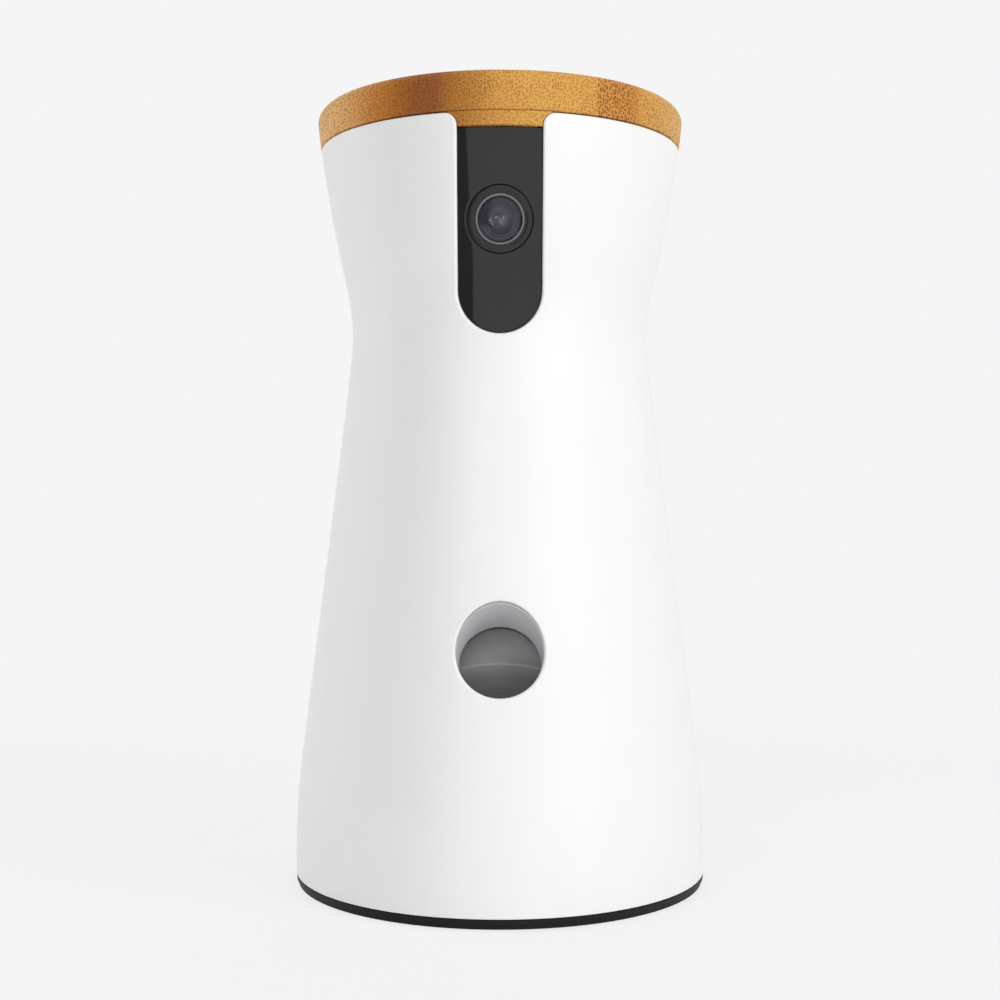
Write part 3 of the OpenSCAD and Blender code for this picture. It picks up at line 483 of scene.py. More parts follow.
@dataclass(frozen=True)
class CupPaintedLightShade(Finish):
    """The paddle's face, with a painted highlight along the crest of its shallow cup, painted shade
    towards its top where the tube's upper wall shades it, and darker below the crest.

    The crest is an arch across the front face. Heights are measured square to the tube's axis, in
    millimetres from the middle of the face, and the painted highlight and shade change by the
    height over the arch.
    """

    middle: Pair = (0.0, 0.0)
    tilt: float = 25.0
    arch: float = 84.0
    crest: float = 0.8
    # Tones above the crest: a painted highlight at the crest, fading to painted shade at the top.
    over: tuple[Pair, ...] = ((0.3, 0.45), (2.6, 0.42), (5.6, 0.37), (9.4, 0.25), (11.0, 0.22))
    # Tones below the crest, darker towards the bottom.
    under: tuple[Pair, ...] = ((-11.0, 0.078), (-6.5, 0.080), (-3.5, 0.125), (-0.3, 0.21))
    scuff: Rgb = (0.10, 0.10, 0.105)
    scuff_size: float = 5.0
    grain: float = 0.35
    relief: float = 0.008

    def fill(self, graph: Graph) -> None:
        """Adds the moulding's nodes.

        Args:
            graph: The graph to fill.
        """
        t = math.radians(self.tilt)
        y = graph.math("SUBTRACT", graph.axis("Y"), self.middle[0] * MM)
        z = graph.math("SUBTRACT", graph.axis("Z"), self.middle[1] * MM)
        up = graph.math("ADD", graph.math("MULTIPLY", y, math.sin(t)),
                        graph.math("MULTIPLY", z, math.cos(t)))
        side = graph.math("MULTIPLY", graph.axis("X"), graph.axis("X"))
        bow = graph.math("DIVIDE", side, self.arch * MM)
        height = graph.math("SUBTRACT", graph.math("ADD", up, bow), self.crest * MM)
        stops = sorted(self.under + self.over)
        low, high = stops[0][0], stops[-1][0]
        # Painted highlight at the crest and painted shade towards the top; darker below the crest.
        shade = graph.ramp(graph.fit(height, low * MM, high * MM),
                           [((h - low) / (high - low), (a, a, a * 1.03)) for h, a in stops])
        fine = graph.noise(self.grain, 2, 0.6)
        scuffs = graph.fit(graph.noise(self.scuff_size, 3), 0.35, 0.7, 0.0, 0.12)
        graph.set(
            Base_Color=graph.mix(scuffs, shade, self.scuff),
            Roughness=graph.fit(fine, 0.25, 0.75, 0.33, 0.40),
            Normal=graph.bump(fine, self.relief),
        )


CASING_WHITE = Moulded("white_gloss_moulding", (0.86, 0.86, 0.855), 0.34, 0.5, 0.004, 0.012, 0.15)
WINDOW_BLACK = Moulded("smoked_window", (0.011, 0.011, 0.0115), 0.07, 0.5, 0.0006, 0.1)
BEZEL_BLACK = Moulded("bezel_black", (0.012, 0.012, 0.0125), 0.22, 0.3, 0.001, 0.1, 0.0, 0.45)
BLACK_PLASTIC = Moulded("matt_black_moulding", (0.016, 0.016, 0.017), 0.5, 0.3, 0.01, 0.1)
BASE_BLACK = Moulded("base_black_moulding", (0.009, 0.009, 0.0095), 0.55, 0.35, 0.012, 0.1,
                     specular=0.2)
TRIM = Moulded("satin_trim_ring", (0.15, 0.15, 0.158), 0.3, 0.2, 0.001, 0.05, 0.2)
LENS_GLASS = Clear("coated_lens_glass", (0.80, 0.82, 0.95), 0.02, 1.32, 1.0, 0.5, 0.06)
REAR_GLASS = Moulded("rear_lens_coating", (0.02, 0.018, 0.03), 0.06, 0.5, 0.0005, 0.1, 0.0, 0.1)
BAFFLE = Moulded("blued_baffle", (0.078, 0.077, 0.094), 0.3, 0.2, 0.002, 0.1, 0.1)
TUBE_GREY = Moulded("tube_mid_grey", (0.62, 0.62, 0.64), 0.38, 0.35, 0.006, 0.03)
GREY_MOULDING = Moulded("light_grey_moulding", (0.62, 0.63, 0.64), 0.42, 0.4, 0.008, 0.03)
CHIP_BLACK = Moulded("chip_black", (0.02, 0.02, 0.021), 0.45, 0.2, 0.01, 0.15)
BUTTON_GREY = Moulded("button_grey", (0.20, 0.20, 0.21), 0.45, 0.25, 0.01, 0.05)
NYLON = Moulded("natural_nylon", (0.80, 0.79, 0.72), 0.38, 0.3, 0.006, 0.03)
LED_RESIN = Moulded("led_resin", (0.10, 0.07, 0.12), 0.12, 0.5, 0.002, 0.1, 0.6)
FILM = Moulded("ribbon_film", (0.72, 0.68, 0.56), 0.3, 0.25, 0.004, 0.06, 0.3)
LEAD_RED = Moulded("lead_insulation", (0.42, 0.03, 0.02), 0.35, 0.3, 0.01, 0.08, 0.2)
ORANGE_SOFT = Rubber("rotor_orange", (0.80, 0.24, 0.03), 0.5, 0.6, 0.01)
FOOT_RUBBER = Rubber("foot_rubber", (0.02, 0.02, 0.02), 0.8, 0.4, 0.03)
SILICONE = Rubber("milky_silicone", (0.55, 0.57, 0.58), 0.45, 0.8, 0.008)
FOAM = Rubber("gasket_foam", (0.03, 0.03, 0.03), 0.95, 0.25, 0.08)
CONE_PAPER = Rubber("cone_paper", (0.025, 0.025, 0.025), 0.9, 0.15, 0.03)
STEEL = Metal("ground_steel", (0.60, 0.60, 0.61), 0.24, (0.1, 0.1, 4.0))
ZINC = Metal("zinc_screws", (0.62, 0.62, 0.60), 0.3, (0.15, 0.15, 0.15))
BRASS = Metal("stamped_brass", (0.74, 0.53, 0.22), 0.3, (3.0, 0.2, 0.2))
PLATED = Metal("plated_can", (0.70, 0.70, 0.71), 0.18, (0.2, 4.0, 0.2), 0.002)
SPEAKER_PAINT = Moulded("speaker_paint", (0.02, 0.02, 0.022), 0.4, 0.15, 0.02, 0.1)
BOARD = CircuitBoard("green_circuit_board")
GUIDE = Clear("frosted_light_guide", (0.9, 0.94, 1.0), 0.4, 1.49, 0.85)
BAMBOO = Bamboo("carbonised_bamboo")

CARRIED: dict[str, Finish] = {node: finish for finish, nodes in (
    (BOARD, "camera_board main_board status_led_board"),
    (BLACK_PLASTIC, "camera_bracket power_switch_body reset_switch_body power_slider"),
    (GREY_MOULDING, "hopper metering_housing drop_chute launcher_frame lid_plug"),
    (ZINC, "hopper_screws housing_screws frame_screws board_screws base_screws lid_screws"),
    (BRASS, "rotor_gearbox launcher_gearbox wifi_antenna"),
    (PLATED, "rotor_motor launcher_motor microphone power_inlet"),
    (STEEL, "paddle_axle axle_clips rotor_shaft sector_shaft paddle_spring"),
    (SPEAKER_PAINT, "speaker_basket speaker_magnet"),
    (LEAD_RED, "rotor_motor_lead launcher_motor_lead"),
    (CONE_PAPER, "speaker_cone"), (FOAM, "speaker_gasket"), (CHIP_BLACK, "board_chips"),
    (LED_RESIN, "infrared_leds"), (GUIDE, "light_guide"), (FILM, "camera_ribbon"),
    (SILICONE, "lid_seal"), (ORANGE_SOFT, "metering_rotor"), (NYLON, "sector_gear"),
    (BUTTON_GREY, "reset_button"),
) for node in nodes.split()}


# The body's surface.


@dataclass(frozen=True)
class BodySurface:
    """The oval hourglass that every outer piece follows, worked out as in the part's own source."""

    foot_half_w: float = 60.8
    aspect: float = 1.20
    lean: float = 14.6
    lean_from: float = 10.0
    lean_to: float = 200.0
    rim_z: float = 214.5
    total_h: float = 225.5
    lid_mid_z: float = 219.75
    wall: float = 2.6

    def knots(self) -> Array:
        """A row of heights up the side, and a row of the half-widths there."""
        return np.array([(0, self.foot_half_w), (14, self.foot_half_w), (28, 60.1), (45, 58.1),
                         (90, 52.05), (135, 46), (150, 44.1), (160, 43.2), (170, 43.95),
                         (182, 46.4), (198, 49.5), (self.rim_z, 52.15), (225, 53.3)], float).T

    def half_width(self, z: Array | float) -> Array:
        """Half-width on a smooth curve through the knots.

        Args:
            z: A height, or several.

        Returns:
            The half-width at each.
        """
        zs, ws = self.knots()
        z = np.asarray(z, float)
        rise = np.diff(ws) / np.diff(zs)
        slope = np.concatenate([[rise[0]], (rise[:-1] + rise[1:]) / 2, [rise[-1]]])
        i = np.clip(np.searchsorted(zs, z, side="right") - 1, 0, len(zs) - 2)
        h = zs[i + 1] - zs[i]
        t = (z - zs[i]) / h
        return (ws[i] * (1 + 2 * t) * (1 - t) ** 2 + h * slope[i] * t * (1 - t) ** 2
                + ws[i + 1] * t * t * (3 - 2 * t) + h * slope[i + 1] * t * t * (t - 1))

    def half_depth(self, z: Array | float) -> Array:
        """Half-depth at a height."""
        return self.aspect * self.half_width(z)

    def foot_y(self) -> float:
        """Y of the foot's centre, so that the frame's origin is under the middle of the box."""
        front = self.lean + float(self.half_depth(self.lid_mid_z))
        return (front - self.aspect * self.foot_half_w) / 2

    def centre_y(self, z: Array | float) -> Array:
        """Y of the section's centre at a height."""
        t = np.clip((np.asarray(z, float) - self.lean_from) / (self.lean_to - self.lean_from), 0, 1)
        return self.foot_y() - self.lean * t * t * (3 - 2 * t)

    def point(self, angle: Array, z: Array, inset: Array | float = 0.0) -> Array:
        """Points on the surface.

        Args:
            angle: Angle round the body in radians, 0 at the front and growing to the right.
            z: Height.
            inset: How far inside the surface.

        Returns:
            An array of x, y, z rows.
        """
        x = (self.half_width(z) - inset) * np.sin(angle)
        y = self.centre_y(z) - (self.half_depth(z) - inset) * np.cos(angle)
        return np.stack([x, y, np.broadcast_to(z, np.shape(x))], axis=-1)

    def angle_at(self, x: Array, z: Array, inset: float = 0.0, back: bool = False) -> Array:
        """Angle of the surface point that has this x, on the front or the back."""
        angle = np.arcsin(np.clip(x / (self.half_width(z) - inset), -1, 1))
        return math.pi - angle if back else angle

    def front_y(self, x: Array | float, z: Array | float) -> Array:
        """Y of the front surface at this x and height."""
        ratio = np.asarray(x) / self.half_width(z)
        return self.centre_y(z) - self.half_depth(z) * np.sqrt(np.clip(1 - ratio ** 2, 0, 1))

    def stretch(self, angle: Array, z: Array) -> Array:
        """Millimetres along the surface for each radian of angle."""
        a, b = self.half_width(z), self.half_depth(z)
        return np.sqrt((a * np.cos(angle)) ** 2 + (b * np.sin(angle)) ** 2)

    def seam_angles(self, count: int) -> Array:
        """Angles from the left side round the front, the right and the back, to the left again."""
        return np.linspace(-math.pi / 2, math.pi * 1.5, count + 1)


SURFACE = BodySurface()


# Outlines.


def around(count: int) -> Array:
    """Even angles once round, in radians."""
    return np.linspace(0, 2 * math.pi, count, endpoint=False)


def circle(x: float, z: float, radius: float, count: int) -> Array:
    """A circle in x and height."""
    turn = around(count)
    return np.stack([x + radius * np.cos(turn), z + radius * np.sin(turn)], axis=-1)


def bowl(half: float, middle: float) -> list[Pair]:
    """The round lower end of an upright slot in x and height, from its left to its right."""
    turn = [math.pi * k / BOWL_STEPS for k in range(1, BOWL_STEPS)]
    return [(-half * math.cos(a), middle - half * math.sin(a)) for a in turn]


def rounded(points: Sequence[Pair], radius: float | Sequence[float], steps: int = 4) -> list[Pair]:
    """Rounds the corners of a closed outline with arcs.

    Args:
        points: The outline's corners.
        radius: Corner radius, or one for each corner.
        steps: Segments in an arc.

    Returns:
        The outline with arcs in place of its corners.
    """
    count = len(points)
    radii = [radius] * count if isinstance(radius, float) else radius
    made: list[Pair] = []
    for i, corner in enumerate(points):
        here = Vector(corner)
        before, after = Vector(points[i - 1]) - here, Vector(points[(i + 1) % count]) - here
        half = before.angle(after) / 2
        reach = min(radii[i] / math.tan(half), before.length * 0.49, after.length * 0.49)
        size = reach * math.tan(half)
        bisector = (before.normalized() + after.normalized()).normalized()
        middle = here + bisector * (size / math.sin(half))
        first = here + before.normalized() * reach - middle
        turn = first.angle_signed(here + after.normalized() * reach - middle)
        for k in range(steps + 1):
            spin = -turn * k / steps
            made.append((middle.x + first.x * math.cos(spin) - first.y * math.sin(spin),
                         middle.y + first.x * math.sin(spin) + first.y * math.cos(spin)))
    return made


def close_ring(points: Sequence[Sequence[float]]) -> Array:
    """Makes a closed outline in x and height run anticlockwise.

    Args:
        points: The outline's points.

    Returns:
        The points as an array.
    """
    table = np.array(points, float)
    ahead = np.roll(table, -1, axis=0)
    area = np.sum(table[:, 0] * ahead[:, 1] - ahead[:, 0] * table[:, 1])
    return table if area > 0 else table[::-1]


def cut_line(outline: Array, back: bool = False) -> Line:
    """A line cut straight along Y into the surface.

    Args:
        outline: Rows of x and height.
        back: Whether the line is in the back. It then runs the other way.

    Returns:
        A function of the inset that gives rows of angle and height.
    """
    def line(inset: float) -> Array:
        """The line at an inset."""
        angle = SURFACE.angle_at(outline[:, 0], outline[:, 1], inset, back)
        return np.stack([angle, outline[:, 1]], axis=-1)[::-1 if back else 1]
    return line


def inside_polygon(spots: Array, polygon: Array) -> Array:
    """Whether spots are inside a polygon, by counting crossings.

    Args:
        spots: Rows of two coordinates.
        polygon: The polygon's corners.

    Returns:
        One truth value a spot.
    """
    within = np.zeros(len(spots), bool)
    for (x0, y0), (x1, y1) in zip(polygon, np.roll(polygon, -1, axis=0)):
        if y0 != y1:
            across = (spots[:, 1] > y0) != (spots[:, 1] > y1)
            within ^= across & (spots[:, 0] < (x1 - x0) * (spots[:, 1] - y0) / (y1 - y0) + x0)
    return within


def beyond_line(spots: Array, line: Array, far: float = 1000.0) -> Array:
    """Whether spots are past an open line that runs round the body, on the line's left-hand side.

    Args:
        spots: Rows of angle and height.
        line: Rows of angle and height.
        far: A height past every spot.

    Returns:
        One truth value a spot.
    """
    way = 1.0 if line[-1, 0] > line[0, 0] else -1.0
    start, end = line[0, 0] - way, line[-1, 0] + way
    return inside_polygon(spots, np.vstack([line, [[end, line[-1, 1]], [end, far * way],
                                                   [start, far * way], [start, line[0, 1]]]]))


# Mesh making.


def add_object(name: str, data: bpy.types.ID) -> Piece:
    """Makes an object and links it to the scene.

    Args:
        name: The object's name.
        data: Its mesh, lamp or camera.

    Returns:
        The object.
    """
    item = bpy.data.objects.new(name, data)
    bpy.context.scene.collection.objects.link(item)
    return item


def make_piece(name: str, points: Array, faces: Faces, finish: Finish) -> Piece:
    """Makes a smooth mesh object from points in millimetres.

    Args:
        name: The piece's name.
        points: Rows of x, y, z.
        faces: Lists of point numbers.
        finish: The finish of the piece.

    Returns:
        The object, linked to the scene.
    """
    mesh = bpy.data.meshes.new(name)
    mesh.from_pydata((np.asarray(points) * MM).tolist(), [], [list(map(int, f)) for f in faces])
    work = bmesh.new()
    work.from_mesh(mesh)
    bmesh.ops.remove_doubles(work, verts=work.verts, dist=WELD * MM)
    bmesh.ops.dissolve_degenerate(work, edges=work.edges, dist=WELD * MM * 0.2)
    bmesh.ops.recalc_face_normals(work, faces=work.faces)
    for face in work.faces:
        face.smooth = True
    work.to_mesh(mesh)
    work.free()
    mesh.materials.append(finish.material())
    return add_object(name, mesh)


def grid_faces(rows: int, columns: int, closed: bool = True) -> Faces:
    """Quads between successive rows of points, where each row can join up with its own start."""
    return [(r * columns + c, r * columns + (c + 1) % columns,
             (r + 1) * columns + (c + 1) % columns, (r + 1) * columns + c)
            for r in range(rows - 1) for c in range(columns if closed else columns - 1)]


def wall_between(first: Array, second: Array, closed: bool, rows: int = 3) -> tuple[Array, Faces]:
    """A strip of quads between two lines of as many points.

    Args:
        first: The first line's points.
        second: The second line's points.
        closed: Whether the lines join up with their starts.
        rows: Rows of quads across the strip.

    Returns:
        The strip's points and quads.
    """
    share = np.linspace(0, 1, rows + 1)[:, None, None]
    points = (first[None] * (1 - share) + second[None] * share).reshape(-1, 3)
    return points, grid_faces(rows + 1, len(first), closed)


def lathe(name: str, outline: Sequence[Pair], place: Callable[[Array, Array, Array], Array],
          finish: Finish, sides: int) -> Piece:
    """Turns an outline round an axis.

    Args:
        name: The piece's name.
        outline: Radius and height pairs. The last one joins up with the first.
        place: Turns local x, y and height arrays into rows in the frame.
        finish: The finish of the piece.
        sides: Segments round the axis.

    Returns:
        The turned piece.
    """
    turn = around(sides)
    r, h = (np.repeat(column[:, None], sides, axis=1) for column in np.array(outline, float).T)
    points = place(r * np.cos(turn), r * np.sin(turn), h).reshape(-1, 3)
    last = (len(outline) - 1) * sides
    faces = grid_faces(len(outline), sides)
    faces += [(last + c, last + (c + 1) % sides, (c + 1) % sides, c) for c in range(sides)]
    return make_piece(name, points, faces, finish)


def soften(piece: Piece, width: float, angle: float = 32.0) -> None:
    """Rounds a piece's sharp edges without touching its mesh.

    Args:
        piece: The object.
        width: Width of the rounding in millimetres.
        angle: Edges sharper than this many degrees are rounded.
    """
    join = piece.modifiers.new("join", "WELD")
    join.merge_threshold = WELD * MM
    bevel = piece.modifiers.new("soften", "BEVEL")
    bevel.width = width * MM
    bevel.segments = 2
    bevel.limit_method = "ANGLE"
    bevel.angle_limit = math.radians(angle)
    even = piece.modifiers.new("even", "WEIGHTED_NORMAL")
    even.keep_sharp = True


def dress_nodes(finishes: dict[str, Finish], edge: float, thin: Sequence[str] = ()) -> int:
    """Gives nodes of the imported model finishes, through their objects' own material slots.

    Args:
        finishes: The finish of each node.
        edge: Width of the rounding on their edges, in millimetres.
        thin: Nodes too thin to be rounded.

    Returns:
        How many nodes there were.
    """
    for node, finish in finishes.items():
        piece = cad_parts[node]
        for slot in piece.material_slots:
            slot.link = "OBJECT"
            slot.material = finish.material()
        if node not in thin:
            soften(piece, edge)
    return len(finishes)


# Sheets that follow the body's surface, with rounded openings.


class Facing(Enum):
    """Which way a sheet's faces look, and which way its rounded edges sink."""

    OUT = 1
    IN = -1


@dataclass
class Border:
    """An edge of a sheet, as rows of angle and height, with the material on its right-hand side.

    A closed line is a hole's edge, or else the edge of the whole sheet. An open one runs round
    the body.
    """

    line: Line
    radius: float
    closed: bool = True
    hole: bool = True


@dataclass
class Sheet:
    """A layer of the surface between borders, triangulated on a fine grid.

    Past its rounding a border gets a few more rings, which hold the grid's points off. The
    triangles are found on the surface laid flat, where a radian is as long as the flat radius.
    """

    borders: list[Border]
    low: float
    high: float
    angles: Array
    level: float = 0.0
    side: Facing = Facing.OUT
    step: float = 2.0
    arc_steps: int = 4
    narrow: float = 0.35
    narrow_rings: tuple[float, ...] = (0.25,)
    wide_rings: tuple[float, ...] = (0.4, 1.2)
    hold_off: float = 0.45
    flat_radius: float = 55.0
    points: list[Array] = field(default_factory=list)
    insets: list[Array] = field(default_factory=list)
    edges: list[tuple[int, int]] = field(default_factory=list)
    first_rings: list[Array] = field(default_factory=list)

    def offset(self, line: Array, distance: float, closed: bool) -> Array:
        """Moves a line sideways along the surface, to its right.

        Args:
            line: Rows of angle and height.
            distance: How far, in millimetres.
            closed: Whether the line joins up with its start.

        Returns:
            The moved line.
        """
        scale = SURFACE.stretch(line[:, 0], line[:, 1])
        if closed:
            ahead, behind = np.roll(line, -1, axis=0), np.roll(line, 1, axis=0)
        else:
            ahead, behind = np.vstack([line[1:], line[-1:]]), np.vstack([line[:1], line[:-1]])
        run = (ahead[:, 0] - behind[:, 0]) * scale
        rise = ahead[:, 1] - behind[:, 1]
        size = np.hypot(run, rise)
        return np.stack([line[:, 0] + rise / size * distance / scale,
                         line[:, 1] - run / size * distance], axis=-1)

    def add_ring(self, line: Array, inset: float, closed: bool) -> None:
        """Adds a line's points and the edges between them.

        Args:
            line: Rows of angle and height.
            inset: How far inside the surface it lies.
            closed: Whether the line joins up with its start.
        """
        start = sum(len(p) for p in self.points)
        count = len(line)
        self.points.append(line)
        self.insets.append(np.full(count, inset))
        self.edges += [(start + i, start + i + 1) for i in range(count - 1)]
        if closed:
            self.edges.append((start + count - 1, start))

    def add_border(self, border: Border) -> float:
        """Adds the rounding of a border, and the rings past it.

        Args:
            border: The border.

        Returns:
            The distance that the grid keeps from the border's line.
        """
        line, radius = border.line(self.level), border.radius
        arc = [math.pi / 2 * k / self.arc_steps for k in range(self.arc_steps, -1, -1)]
        steps = [(radius * (1 - math.sin(a)), radius * (1 - math.cos(a))) for a in arc]
        more = self.wide_rings if radius > self.narrow else self.narrow_rings
        steps += [(radius + extra, 0.0) for extra in more]
        for number, (distance, depth) in enumerate(steps):
            ring = self.offset(line, distance, border.closed)
            inset = self.level + self.side.value * depth
            self.add_ring(ring, inset, border.closed)
            if number == 0:
                self.first_rings.append(SURFACE.point(ring[:, 0], ring[:, 1], inset))
        return steps[-1][0] + self.hold_off * self.step

    def build(self) -> tuple[Array, Faces]:
        """Triangulates the sheet.

        Returns:
            Points in millimetres, and triangles.
        """
        self.add_grid([(b.line(self.level), self.add_border(b)) for b in self.borders])
        flat, scale = np.vstack(self.points), self.flat_radius
        insets = np.concatenate(self.insets)
        vectors = [Vector((float(a) * scale, float(z))) for a, z in flat]
        made = geometry.delaunay_2d_cdt(vectors, self.edges, [], 0, 1e-7, True)
        out, faces, origin = made[0], made[2], made[3]
        plane = np.array([(v.x / scale, v.y) for v in out])
        depth = np.array([insets[o[0]] if o else self.level for o in origin])
        triangles = np.array([f for f in faces if len(f) == 3])
        chosen = triangles[self.kept(plane[triangles].mean(axis=1))]
        if self.side is Facing.IN:
            chosen = chosen[:, ::-1]
        return SURFACE.point(plane[:, 0], plane[:, 1], depth), [tuple(t) for t in chosen]

    def add_grid(self, clear: list[tuple[Array, float]]) -> None:
        """Adds the even grid of points, away from the borders.

        Args:
            clear: For each border, its line and the distance to keep from it.
        """
        rows = max(3, int((self.high - self.low) / self.step) + 1)
        heights = np.linspace(self.low, self.high, rows)
        angle, z = (m.ravel() for m in np.meshgrid(self.angles, heights))
        free = np.ones(len(angle), bool)
        scale = SURFACE.stretch(angle, z)
        for line, distance in clear:
            for a, h in line:
                free &= (((angle - a) * scale) ** 2 + (z - h) ** 2) > distance ** 2
        centre = np.stack([angle, z], axis=-1)
        free &= self.kept(centre)
        self.points.append(centre[free])
        self.insets.append(np.full(int(free.sum()), self.level))

    def kept(self, spots: Array) -> Array:
        """Whether spots belong to the sheet.

        Args:
            spots: Rows of angle and height.

        Returns:
            One truth value a spot.
        """
        keep = np.ones(len(spots), bool)
        for border in self.borders:
            line = border.line(self.level)
            within = (inside_polygon if border.closed else beyond_line)(spots, line)
            keep &= ~within if border.hole else within
        return keep


class MeshPot:
    """Gathers points and faces of several sheets and strips into one mesh."""

    def __init__(self) -> None:
        """Starts empty."""
        self.points: list[Array] = []
        self.faces: Faces = []

    def add(self, points: Array, faces: Faces) -> None:
        """Adds points, and faces that number them from 0.

        Args:
            points: Rows of x, y, z.
            faces: Lists of point numbers.
        """
        start = sum(len(p) for p in self.points)
        self.points.append(points)
        self.faces += [tuple(i + start for i in f) for f in faces]

    def piece(self, name: str, finish: Finish) -> Piece:
        """The gathered mesh as one object."""
        return make_piece(name, np.vstack(self.points), self.faces, finish)


# Sub-assemblies.


class Assembly:
    """A sub-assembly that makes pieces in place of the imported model's solids.

    Each piece has a seat: the body it rides on, the node it replaces and the slot it fills. A
    piece that is another's child has no body of its own.
    """

    seats: ClassVar[dict[str, tuple[str | None, str | None, str]]] = {}

    def build(self) -> dict[str, Piece]:
        """Builds the pieces, named as in the seats."""
        raise NotImplementedError

    def dress(self, pieces: dict[str, Piece]) -> None:
        """Puts the pieces in their seats.

        Args:
            pieces: The pieces, named as in the seats.
        """
        for key, (body, node, slot) in self.seats.items():
            if body:
                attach(pieces[key], body)
            if node:
                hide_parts(node)


@dataclass
class TubeAxis:
    """The launch tube's axis, which leaves the casing low in the front and tilts up."""

    mouth_z: float = 73.5
    tilt: float = 25.0
    lip_r: float = 11.9
    inner_r: float = 11.1
    length: float = 12.0
    search: Pair = (-25.0, 20.0)
    halvings: int = 50

    def mouth(self) -> Array:
        """Where the axis leaves the casing."""
        return np.array([0.0, float(SURFACE.front_y(0.0, self.mouth_z)), self.mouth_z])

    def out(self) -> Array:
        """Unit direction in which treats are thrown."""
        t = math.radians(self.tilt)
        return np.array([0.0, -math.cos(t), math.sin(t)])

    def up(self) -> Array:
        """Unit direction square to the axis, in the body's plane of symmetry."""
        t = math.radians(self.tilt)
        return np.array([0.0, math.sin(t), math.cos(t)])

    def ring(self, radius: float, turn: Array, h: Array) -> Array:
        """Points about the axis, at angles round it and distances along it from the mouth."""
        x, y = radius * np.cos(turn)[:, None] * np.array([1.0, 0.0, 0.0]), radius * np.sin(turn)
        return self.mouth() + x + y[:, None] * self.up() + h[:, None] * self.out()

    def hit(self, radius: float, turn: Array, inset: float) -> Array:
        """Distance along the axis at which a line of the tube's wall meets the casing's surface.

        Args:
            radius: The line's distance from the axis.
            turn: The line's angle round the axis, in radians.
            inset: How far inside the surface to stop.

        Returns:
            The distances from the mouth, positive outwards.
        """
        low, high = (np.full(len(turn), end) for end in self.search)
        for _ in range(self.halvings):
            mid = (low + high) / 2
            x, y, z = self.ring(radius, turn, mid).T
            a, b = SURFACE.half_width(z) - inset, SURFACE.half_depth(z) - inset
            out = (x / a) ** 2 + ((y - SURFACE.centre_y(z)) / b) ** 2 > 1
            high = np.where(out, mid, high)
            low = np.where(out, low, mid)
        return (low + high) / 2

    def surface_line(self, radius: float, inset: float, count: int = 128) -> Array:
        """The line where a cylinder about the axis meets the surface.

        Args:
            radius: The cylinder's radius.
            inset: How far inside the surface.
            count: Points in the line.

        Returns:
            Rows of angle and height.
        """
        turn = around(count)
        p = self.ring(radius, turn, self.hit(radius, turn, inset))
        return np.stack([SURFACE.angle_at(p[:, 0], p[:, 2], inset), p[:, 2]], axis=-1)


